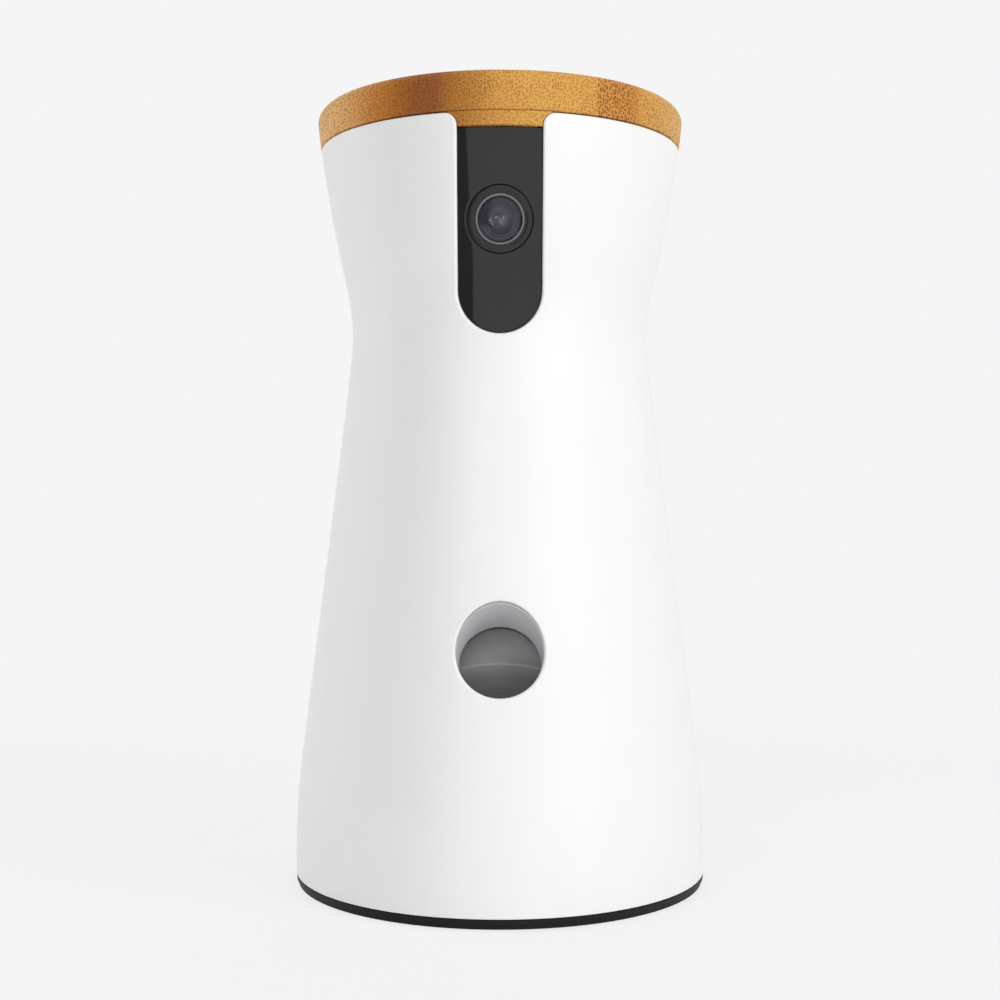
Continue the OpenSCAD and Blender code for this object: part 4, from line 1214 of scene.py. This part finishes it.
@dataclass
class Casing(Assembly):
    """The white outer casing: a shell with the window's notch, the tube's hole and holes behind."""

    seats = {"shell": ("case", "outer_casing", "white_casing")}
    foot_z: float = 3.1
    edge_r: float = 0.7
    foot_edge_r: float = 0.35
    inner_edge_r: float = 0.25
    notch_half_w: float = 11.45
    notch_low_z: float = 157.75
    notch_rows: int = 33
    shoulder_r: float = 3.4
    shoulder_steps: int = 8
    shoulder_run: float = 3.0
    seam_gap: float = 0.02
    hole_r: float = 12.0
    hole_edge_r: float = 0.6
    inlet_half: Pair = (6.0, 4.0)
    inlet_corner_r: float = 1.4
    inlet_edge_r: float = 0.5
    inlet_z: float = 17.0
    speaker_z: float = 52.0
    speaker_pitch: float = 5.0
    speaker_rings: int = 2
    speaker_hole_r: float = 1.0
    speaker_edge_r: float = 0.25
    microphone_z: float = 72.0
    microphone_r: float = 0.7
    microphone_edge_r: float = 0.2
    columns: int = 180
    tube: TubeAxis = field(default_factory=TubeAxis)

    def top_line(self, inset: float) -> Array:
        """The upper edge, from the left round the front with its notch, to the left again.

        Args:
            inset: How far inside the surface.

        Returns:
            Rows of angle and height.
        """
        columns = SURFACE.seam_angles(self.columns)
        high, half, r = SURFACE.rim_z, self.notch_half_w, self.shoulder_r
        bottom, start, count = self.notch_low_z + half, -half - r, self.shoulder_steps
        left = [(float(x), high) for x in np.linspace(start - self.shoulder_run, start, 4)[:-1]]
        left += [(start + r * math.cos(a), high - r + r * math.sin(a))
                 for a in (math.pi / 2 * (1 - k / count) for k in range(count + 1))]
        left += [(-half, float(z)) for z in np.linspace(high - r, bottom, self.notch_rows + 1)[1:]]
        front = np.array(left + bowl(half, bottom) + [(-x, z) for x, z in reversed(left)])
        angle = SURFACE.angle_at(front[:, 0], front[:, 1], inset)
        edge = float(SURFACE.angle_at(front[-1:, 0], front[-1:, 1], SURFACE.wall)[0])
        edge += self.seam_gap
        before = [(a, high) for a in columns if a < -edge]
        after = [(a, high) for a in columns if a > edge]
        return np.vstack([before, np.stack([angle, front[:, 1]], axis=-1), after])

    def shoulder_z(self) -> float:
        """Height where the notch starts to widen into its shoulders."""
        return SURFACE.rim_z - self.shoulder_r

    def half_at(self, z: float) -> float:
        """Half-width of the notch at a height above its round lower end."""
        rise = min(max(z - self.shoulder_z(), 0.0), self.shoulder_r)
        return self.notch_half_w + self.shoulder_r - math.sqrt(self.shoulder_r ** 2 - rise ** 2)

    def bottom_line(self, inset: float) -> Array:
        """The lower edge at any inset, which runs the other way round."""
        columns = SURFACE.seam_angles(self.columns)[::-1]
        return np.stack([columns, np.full(len(columns), self.foot_z)], axis=-1)

    def slot_outline(self) -> Array:
        """The power inlet's slot, with rounded corners.

        Returns:
            Rows of x and height.
        """
        w, h = self.inlet_half
        corners = rounded([(-w, -h), (w, -h), (w, h), (-w, h)], self.inlet_corner_r, 5)
        return close_ring(corners) + np.array([0.0, self.inlet_z])

    def borders(self, radius: float) -> list[Border]:
        """Every edge of the casing's sheet.

        Args:
            radius: Rounding of the main edges.

        Returns:
            The borders.
        """
        made = [
            Border(self.top_line, radius, closed=False),
            Border(self.bottom_line, min(radius, self.foot_edge_r), closed=False),
            Border(lambda inset: self.tube.surface_line(self.hole_r, inset),
                   min(radius, self.hole_edge_r)),
            Border(cut_line(self.slot_outline(), True), min(radius, self.inlet_edge_r)),
            Border(cut_line(circle(0, self.microphone_z, self.microphone_r, 16), True),
                   min(radius, self.microphone_edge_r)),
        ]
        for ring in range(self.speaker_rings + 1):
            for k in range(max(1, 6 * ring)):
                a, out = 2 * math.pi * k / max(1, 6 * ring), self.speaker_pitch * ring
                hole = circle(out * math.cos(a), self.speaker_z + out * math.sin(a),
                              self.speaker_hole_r, 18)
                made.append(Border(cut_line(hole, True), min(radius, self.speaker_edge_r)))
        return made

    def build(self) -> dict[str, Piece]:
        """Builds the shell.

        Returns:
            The shell.
        """
        outer = Sheet(self.borders(self.edge_r), self.foot_z, SURFACE.rim_z,
                      SURFACE.seam_angles(self.columns))
        inner = Sheet(self.borders(self.inner_edge_r), self.foot_z, SURFACE.rim_z,
                      SURFACE.seam_angles(self.columns // 2), SURFACE.wall, Facing.IN, 4.0)
        pot = MeshPot()
        pot.add(*outer.build())
        pot.add(*inner.build())
        for a, b, border in zip(outer.first_rings, inner.first_rings, outer.borders):
            pot.add(*wall_between(a, b, border.closed))
        return {"shell": pot.piece("casing_shell", CASING_WHITE)}


@dataclass
class LensFace(Assembly):
    """The smoked window with the lens in it.

    Depths count from the bezel's front for the ring and the front glass, and from the front
    glass's edge for the barrel and the rear glass.
    """

    seats = {
        "window": ("case", "camera_window", "window_panel"),
        "bezel": ("case", "lens_bezel", "black_plastic"),
        "trim": ("case", "lens_trim_ring", "trim_ring"),
        "glass": ("case", "lens_glass", "lens_glass"),
        "barrel": ("case", "lens_barrel", "black_plastic"),
        "inner": ("case", None, "lens_glass"),
    }
    half_w: float = 11.3
    low_z: float = 157.9
    high_z: float = 210.6
    corner_r: float = 0.4
    side_rows: int = 36
    top_columns: int = 22
    gap: float = 0.1
    inset: float = 0.9
    thickness: float = 2.2
    waist_z: float = 160.0
    grid_step: float = 1.4
    lens_z: float = 187.3
    groove_r: float = 8.8
    bezel_r: float = 8.72
    bezel_back: float = 3.5
    bezel_sink: float = 0.12
    ring_r: float = 6.5
    ring_sink: float = 0.16
    ring_back: float = 1.7
    glass_r: float = 5.88
    glass_sink: float = 1.1
    glass_edge: float = 0.7
    dome_r: float = 15.0
    barrel: tuple[Pair, ...] = (
        (6.0, 1.0), (5.7, 1.25), (4.9, 1.5), (4.8, 1.9), (4.1, 2.1), (4.0, 2.5), (3.3, 2.7),
        (3.2, 3.3), (2.3, 3.5), (2.2, 9.5), (8.2, 9.5), (8.2, 7.5), (6.3, 7.3), (6.2, 1.0),
    )
    rear_r: float = 2.15
    rear_sink: float = 2.9
    rear_sag: float = 0.5
    rear_back: float = 4.2

    def outline(self) -> Array:
        """The window's outline, clockwise so that its material is on the right.

        Returns:
            Rows of x and height.
        """
        half, bottom = self.half_w - self.gap, self.low_z + self.half_w
        high, r = self.high_z, self.corner_r
        side = np.linspace(high - r, bottom, self.side_rows)
        rows = [(-half, z) for z in side] + bowl(half, bottom) + [(half, z) for z in side[::-1]]
        corner = [(half - r + r * math.cos(a), high - r + r * math.sin(a))
                  for a in (math.pi / 8, math.pi / 4, math.pi * 3 / 8)]
        rows += corner + [(x, high) for x in np.linspace(half - r, r - half, self.top_columns)]
        rows += [(-x, z) for x, z in reversed(corner)]
        return close_ring(rows)[::-1]

    def window(self) -> Piece:
        """Builds the smoked panel.

        Returns:
            The panel.
        """
        reach = float(SURFACE.angle_at(self.half_w + 1, self.waist_z))
        angles = np.linspace(-reach, reach, 26)
        edge = cut_line(self.outline())
        opening = cut_line(circle(0, self.lens_z, self.groove_r, 96))
        pot = MeshPot()
        rings: list[list[Array]] = []
        for level, side, edge_r, opening_r in ((self.inset, Facing.OUT, 0.2, 0.4),
                                               (self.inset + self.thickness, Facing.IN, 0.1, 0.1)):
            borders = [Border(edge, edge_r, hole=False), Border(opening, opening_r)]
            sheet = Sheet(borders, self.low_z, self.high_z, angles, level, side, self.grid_step)
            pot.add(*sheet.build())
            rings.append(sheet.first_rings)
        for a, b in zip(*rings):
            pot.add(*wall_between(a, b, True, 2))
        return pot.piece("camera_window_panel", WINDOW_BLACK)

    def place(self, x: Array, y: Array, h: Array) -> Array:
        """Turns coordinates about the lens axis into rows in the frame, on the window's slope."""
        z = self.lens_z + y
        return np.stack([x, SURFACE.front_y(x, z) - h, z], axis=-1)

    def build(self) -> dict[str, Piece]:
        """Builds the window and the lens stack.

        Returns:
            The pieces by name.
        """
        r, g, out = self.ring_r, self.glass_r, self.bezel_r
        face = -self.inset - self.bezel_sink
        rim, back = face - self.ring_sink, face - self.glass_sink
        bezel = [(r + 0.06, face - 0.3), (r + 0.6, face - 0.3), (r + 1.0, face - 0.02),
                 (out, face), (out, face - self.bezel_back), (r + 0.06, face - self.bezel_back)]
        trim = [(g + 0.05, face - 0.55), (g + 0.22, rim), (r, rim), (r, face - self.ring_back),
                (g + 0.05, face - self.ring_back)]
        sag = math.sqrt(self.dome_r ** 2 - g ** 2)
        dome = [(x, back + math.sqrt(self.dome_r ** 2 - x ** 2) - sag)
                for x in (g * k / 14 for k in range(15))]
        glass = [(NEAR_AXIS, dome[0][1])] + dome[1:]
        glass += [(g, back - self.glass_edge), (NEAR_AXIS, back - self.glass_edge)]
        rear, end = back - self.rear_sink, back - self.rear_back
        inner = [(NEAR_AXIS, rear)]
        inner += [(self.rear_r * k / 8, rear - self.rear_sag * (k / 8) ** 2) for k in range(1, 9)]
        inner += [(self.rear_r, end), (NEAR_AXIS, end)]
        pieces = {"window": self.window()}
        for key, name, outline, finish, sides in (
            ("bezel", "lens_bezel_ring", rounded(bezel, (0.1, 0.22, 0.22, 0.4, 0.2, 0.2)),
             BEZEL_BLACK, 128),
            ("trim", "lens_trim_band", rounded(trim, 0.1), TRIM, 128),
            ("glass", "lens_front_glass", glass, LENS_GLASS, 96),
            ("barrel", "lens_stepped_barrel", [(x, back - d) for x, d in self.barrel], BAFFLE, 96),
            ("inner", "lens_rear_glass", inner, REAR_GLASS, 64),
        ):
            pieces[key] = lathe(name, outline, self.place, finish, sides)
        return pieces


@dataclass
class Lid(Assembly):
    """The bamboo lid: a rounded board, with an inner ply whose tab closes the notch.

    The lower edge's rows are the rise, the inset, and the rise of the section that is used.
    """

    seats = {
        "board": ("lid", "lid_board", "bamboo"),
        "ply": ("lid", "lid_inner_ply", "bamboo"),
        "tab": (None, None, "bamboo"),
    }
    edge_r: float = 3.4
    low_gap: float = 0.3
    lower_edge: tuple[Triple, ...] = (
        (0.0, 0.55, 0.0), (0.08, 0.28, 0.0), (0.3, 0.09, 0.0), (0.6, 0.0, 0.6),
    )
    side_from: float = 1.2
    side_rows: int = 7
    top_rows: int = 12
    ply_low_z: float = 210.7
    ply_lap: float = 0.2
    ply_gap: float = 0.5
    tab_inset: float = 0.4
    tab_back: float = 6.4
    tab_gap: float = 0.3
    tab_grid: tuple[int, int] = (12, 23)
    tab_edge: float = 0.12
    tab_angle: float = 40.0
    sides: int = 240

    def skin(self, name: str, rows: Sequence[Triple]) -> Piece:
        """A closed oval solid through section rows.

        Args:
            name: The piece's name.
            rows: Height, inset, and the height whose section is used, from below to above.

        Returns:
            The piece.
        """
        angle = around(self.sides)
        rings = []
        for z, inset, section_z in rows:
            ring = SURFACE.point(angle, np.full(self.sides, section_z), inset)
            ring[:, 2] = z
            rings.append(ring)
        shrink = (0.985, 0.93, 0.8, 0.6, 0.4, 0.2, 0.001)
        bottom = [self.shrunk(rings[0], s) for s in reversed(shrink)]
        every = bottom + rings + [self.shrunk(rings[-1], s) for s in shrink]
        return make_piece(name, np.vstack(every), grid_faces(len(every), self.sides), BAMBOO)

    def shrunk(self, ring: Array, share: float) -> Array:
        """A flat ring drawn in towards its centre."""
        middle = ring.mean(axis=0)
        return middle + (ring - middle) * share

    def build(self) -> dict[str, Piece]:
        """Builds the board, the ply and its tab.

        Returns:
            The pieces by name.
        """
        low, mid = SURFACE.rim_z + self.low_gap, SURFACE.total_h - self.edge_r
        rows = [(low + rise, inset, low + used) for rise, inset, used in self.lower_edge]
        side = np.linspace(low + self.side_from, mid, self.side_rows)
        rows += [(z, 0.0, z) for z in side[:-1]]
        rows += [(mid + self.edge_r * math.sin(a), self.edge_r * (1 - math.cos(a)), mid)
                 for a in np.linspace(0, math.pi / 2, self.top_rows)]
        board = self.skin("lid_bamboo_board", rows)
        low, high, inset = self.ply_low_z, SURFACE.rim_z + self.ply_lap, SURFACE.wall + self.ply_gap
        rows = [(low, inset + 0.4, low), (low + 0.12, inset + 0.12, low), (low + 0.4, inset, low),
                (high, inset, low)]
        ply = self.skin("lid_inner_board", rows)
        tab = self.tab(low, high)
        tab.parent = ply
        return {"board": board, "ply": ply, "tab": tab}

    def tab(self, low: float, high: float) -> Piece:
        """The tab on the ply's front, which widens with the notch's shoulders.

        Args:
            low: Height of its lower end.
            high: Height of its upper end.

        Returns:
            The tab.
        """
        notch, points = Casing(), []
        rows, columns = self.tab_grid
        zs = np.array([low, low + 0.3, *np.linspace(notch.shoulder_z() - 0.4, high, rows)])
        spread = np.linspace(-1, 1, columns)
        for inset in (self.tab_inset, self.tab_back):
            for z in zs:
                half = notch.half_at(float(z)) - self.tab_gap
                points += [(x, float(SURFACE.front_y(x, z)) + inset, z) for x in half * spread]
        n, m = len(spread), len(zs)
        back, front = n * m, grid_faces(m, n, closed=False)
        faces = front + [tuple(i + back for i in reversed(f)) for f in front]
        numbers = np.arange(back).reshape(m, n)
        rim = [*numbers[0], *numbers[1:, -1], *numbers[-1, -2::-1], *numbers[-2:0:-1, 0]]
        faces += [(a, b, b + back, a + back) for a, b in zip(rim, rim[1:] + rim[:1])]
        tab = make_piece("lid_notch_tab", np.array(points), faces, BAMBOO)
        soften(tab, self.tab_edge, self.tab_angle)
        return tab


@dataclass
class TreatTube(Assembly):
    """The launch tube in the front, whose mouth is cut to the casing's surface."""

    seats = {"tube": ("case", "launch_tube", "tube_grey")}
    axis: TubeAxis = field(default_factory=TubeAxis)
    flush: float = 0.45
    flange_r: float = 14.6
    flange_high: float = -9.2
    flange_low: float = -10.6
    body_r: float = 13.2
    lip_in_r: float = 11.66
    chamfer: float = 0.2
    sides: int = 128

    def build(self) -> dict[str, Piece]:
        """Builds the tube.

        Returns:
            The tube.
        """
        turn = around(self.sides)
        lip, lip_in, inner = self.axis.lip_r, self.lip_in_r, self.axis.inner_r
        foot, c, high, low = -self.axis.length, self.chamfer, self.flange_high, self.flange_low
        end = [self.axis.hit(lip - 0.2, turn, self.flush + d) for d in (0.0, 0.05, 0.2)]
        rows = [(inner, foot), (inner + 0.05, foot + 0.15)]
        rows += [(inner + (lip_in - inner) * share, foot + (end[2] - 0.3 - foot) * share)
                 for share in np.linspace(0.05, 0.95, 8)]
        rows += [(lip_in, end[2] - 0.1), (lip_in + 0.03, end[1]), (lip_in + 0.1, end[0]),
                 (lip - 0.1, end[0]), (lip - 0.03, end[1]), (lip, end[2]), (lip, high),
                 (self.flange_r - c, high), (self.flange_r, high - c), (self.flange_r, low + c),
                 (self.flange_r - c, low), (self.body_r, low), (self.body_r, foot + c),
                 (self.body_r - c, foot), (inner, foot)]
        points = [self.axis.ring(radius, turn, np.full(self.sides, h)) for radius, h in rows]
        faces = grid_faces(len(rows), self.sides)
        return {"tube": make_piece("launch_tube_sleeve", np.vstack(points), faces, TUBE_GREY)}


@dataclass
class Foot:
    """The black base plate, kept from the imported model, and the rubber ring under it."""

    edge: float = 0.2

    def dress(self) -> int:
        """Gives the base plate and the rubber ring their finishes, and says how many they are."""
        return dress_nodes({"base_plate": BASE_BLACK, "rubber_foot": FOOT_RUBBER}, self.edge)


@dataclass
class Works:
    """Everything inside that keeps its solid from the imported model."""

    thin: tuple[str, ...] = ("camera_ribbon", "paddle_spring", "rotor_motor_lead",
                             "launcher_motor_lead")
    edge: float = 0.15

    def dress(self) -> int:
        """Gives each carried node its finish. The paddle's painted highlight and painted shade are
        placed at the tube's mouth.

        Returns:
            How many nodes there are.
        """
        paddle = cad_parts["launch_paddle"].matrix_world.inverted()
        middle = paddle @ Vector(TubeAxis().mouth() * MM)
        # The paddle gets a painted highlight and painted shade, centred on the tube's mouth.
        cup = CupPaintedLightShade("paddle_painted_light_and_shade", (middle.y / MM, middle.z / MM))
        return dress_nodes(CARRIED | {"launch_paddle": cup}, self.edge, self.thin)


# Studio.


@dataclass(frozen=True)
class Lamp:
    """A soft lamp round the object: where it stands in degrees and metres, its size and power."""

    name: str
    azimuth: float
    distance: float
    height: float
    size: Pair
    power: float


@dataclass
class Studio:
    """The camera, the lamps, the pale floor and the pale surroundings.

    The camera's place and sensor are in millimetres and its focal length is in pixels. All else
    is in metres.
    """

    camera_y: float = -549.8
    camera_z: float = 113.2
    focal: float = 1829.0
    frame_px: float = 1000.0
    sensor: float = 36.0
    floor_colour: Rgb = (0.95, 0.95, 0.95)
    floor_half: float = 6.0
    floor_gap: float = 0.00005
    floor_glow: float = 0.85
    floor_fade: Pair = (0.16, 0.75)
    backdrop: float = 0.913
    ambient: float = 0.22
    flag_edge: float = 0.122
    flag_y: float = -0.315
    flag_size: Triple = (0.9, 0.2, 1.0)
    flag_low: float = 0.0005
    lamps: tuple[Lamp, ...] = (
        Lamp("front_left", -25.0, 1.6, 0.45, (1.0, 1.5), 8.5),
        Lamp("front_right", 50.0, 1.6, 0.45, (1.0, 1.5), 17.6),
        Lamp("left_rim", -116.0, 1.5, 0.35, (1.0, 1.4), 6.7),
        Lamp("right_rim", 130.0, 1.5, 0.35, (1.0, 1.4), 2.6),
        Lamp("back_soft", 180.0, 1.5, 0.6, (1.2, 1.2), 7.5),
        Lamp("top_soft", 10.0, 0.2, 1.5, (1.2, 1.2), 7.4),
    )
    lamp_aim: Triple = (0.0, 0.0, 0.12)
    sparks: tuple[tuple[Triple, float], ...] = (
        ((-0.0657, -0.3961, 0.0843), 0.008),
        ((0.0657, -0.3961, 0.0843), 0.008),
        ((-0.1758, -0.3723, 0.1927), 0.004),
    )
    spark_size: Pair = (0.022, 0.022)
    spark_aim: Triple = (0.0, -0.07, 0.187)

    def camera(self) -> None:
        """Makes the camera at the photograph's place, level and looking along +Y."""
        data = bpy.data.cameras.new("camera")
        data.sensor_width = self.sensor
        data.lens = self.focal / self.frame_px * self.sensor
        data.clip_start = 0.01
        data.clip_end = 50
        item = add_object("camera", data)
        item.location = (0.0, self.camera_y * MM, self.camera_z * MM)
        item.rotation_euler = (math.pi / 2, 0.0, 0.0)
        bpy.context.scene.camera = item

    def lamp(self, name: str, spot: Triple, size: Pair, power: float, aim: Triple) -> Piece:
        """Adds a soft rectangular lamp that lights surfaces and doesn't show in them.

        Args:
            name: The lamp's name.
            spot: Its place.
            size: Its width and height.
            power: Its power in watts.
            aim: The point it faces.

        Returns:
            The lamp.
        """
        data = bpy.data.lights.new(name, "AREA")
        data.shape = "RECTANGLE"
        data.size, data.size_y = size
        data.energy = power
        item = add_object(name, data)
        item.visible_glossy = False
        item.location = spot
        item.rotation_euler = (Vector(aim) - Vector(spot)).to_track_quat("-Z", "Y").to_euler()
        return item

    def light_object(self) -> None:
        """Adds the lamps round the object, and the sparks that show only in the front glass."""
        for lamp in self.lamps:
            turn = math.radians(lamp.azimuth)
            spot = (lamp.distance * math.sin(turn), -lamp.distance * math.cos(turn), lamp.height)
            self.lamp(lamp.name, spot, lamp.size, lamp.power, self.lamp_aim)
        group = bpy.data.collections.new("front_glass")
        group.objects.link(bpy.data.objects["lens_front_glass"])
        for number, (spot, power) in enumerate(self.sparks):
            spark = self.lamp(f"lens_spark_{number}", spot, self.spark_size, power, self.spark_aim)
            spark.visible_glossy = True
            spark.visible_camera = spark.visible_transmission = False
            spark.light_linking.receiver_collection = group

    def world(self) -> None:
        """Lights the surroundings evenly, and shows a pale backdrop to the camera and in glass."""
        world = bpy.data.worlds.new("surroundings")
        bpy.context.scene.world = world
        graph = Graph(world, "ShaderNodeBackground", "ShaderNodeOutputWorld")
        graph.set(Color=WHITE, Strength=graph.seen_or_lit(self.backdrop, self.ambient))

    def panel(self, name: str, corners: Sequence[Triple], material: bpy.types.Material) -> Piece:
        """Adds a flat stage panel.

        Args:
            name: The panel's name.
            corners: Its corners.
            material: Its material.

        Returns:
            The panel.
        """
        mesh = bpy.data.meshes.new(name)
        mesh.from_pydata(corners, [], [tuple(range(len(corners)))])
        mesh.materials.append(material)
        item = add_object(name, mesh)
        return item

    def floor(self) -> None:
        """Adds the pale floor, which keeps the object's shadow and fades into the backdrop."""
        paper = bpy.data.materials.new("studio_paper")
        graph = Graph(paper)
        duller = tuple(c * 0.985 for c in self.floor_colour)
        graph.set(Base_Color=graph.mix(graph.noise(40.0, 3), self.floor_colour, duller),
                  Roughness=0.9, Specular_IOR_Level=0.1)
        glow = graph.feed(graph.add("ShaderNodeEmission"), WHITE, self.backdrop)
        away = graph.feed(graph.add("ShaderNodeVectorMath", operation="LENGTH"), graph.place())
        far = graph.fit(away.outputs["Value"], *self.floor_fade, self.floor_glow, 1.0, soft=True)
        share = graph.math("MULTIPLY", far, graph.seen_or_lit(1.0, 0.0))
        blend = graph.feed(graph.add("ShaderNodeMixShader"), share, graph.shader.outputs["BSDF"],
                           glow.outputs[0])
        graph.feed(graph.output, blend.outputs[0])
        h, low = self.floor_half, -self.floor_gap
        self.panel("studio_floor", [(-h, -h, low), (h, -h, low), (h, h, low), (-h, h, low)], paper)

    def flag(self) -> None:
        """Adds a dark flag at the left that shows only in glossy surfaces."""
        cloth = bpy.data.materials.new("studio_flag")
        graph = Graph(cloth)
        weave = graph.mix(graph.noise(30.0, 2), (0.20, 0.20, 0.20), (0.24, 0.24, 0.24))
        graph.set(Base_Color=weave, Roughness=0.9)
        x, y, low = -self.flag_edge, self.flag_y, self.flag_low
        wide, deep, high = self.flag_size
        corners = [(x, y, low), (x - wide, y + deep, low), (x - wide, y + deep, high), (x, y, high)]
        item = self.panel("studio_flag", corners, cloth)
        item.visible_camera = item.visible_diffuse = False
        item.visible_shadow = item.visible_transmission = False

    def build(self) -> None:
        """Sets up the whole studio."""
        bpy.context.scene.view_settings.view_transform = "Standard"
        self.camera()
        self.world()
        self.light_object()
        self.floor()
        self.flag()


def main() -> None:
    """Builds and dresses every sub-assembly in order."""
    logging.basicConfig(level=logging.INFO, format="%(name)s: %(message)s")
    for assembly in (Casing(), LensFace(), Lid(), TreatTube()):
        pieces = assembly.build()
        assembly.dress(pieces)
        for piece in pieces.values():
            LOG.info("%s: %s with %d faces", type(assembly).__name__, piece.name,
                     len(piece.data.polygons))
    for carried in (Foot(), Works()):
        LOG.info("%s: %d carried nodes dressed", type(carried).__name__, carried.dress())
    Studio().build()
    LOG.info("studio ready")


if __name__ == "__main__":
    main()
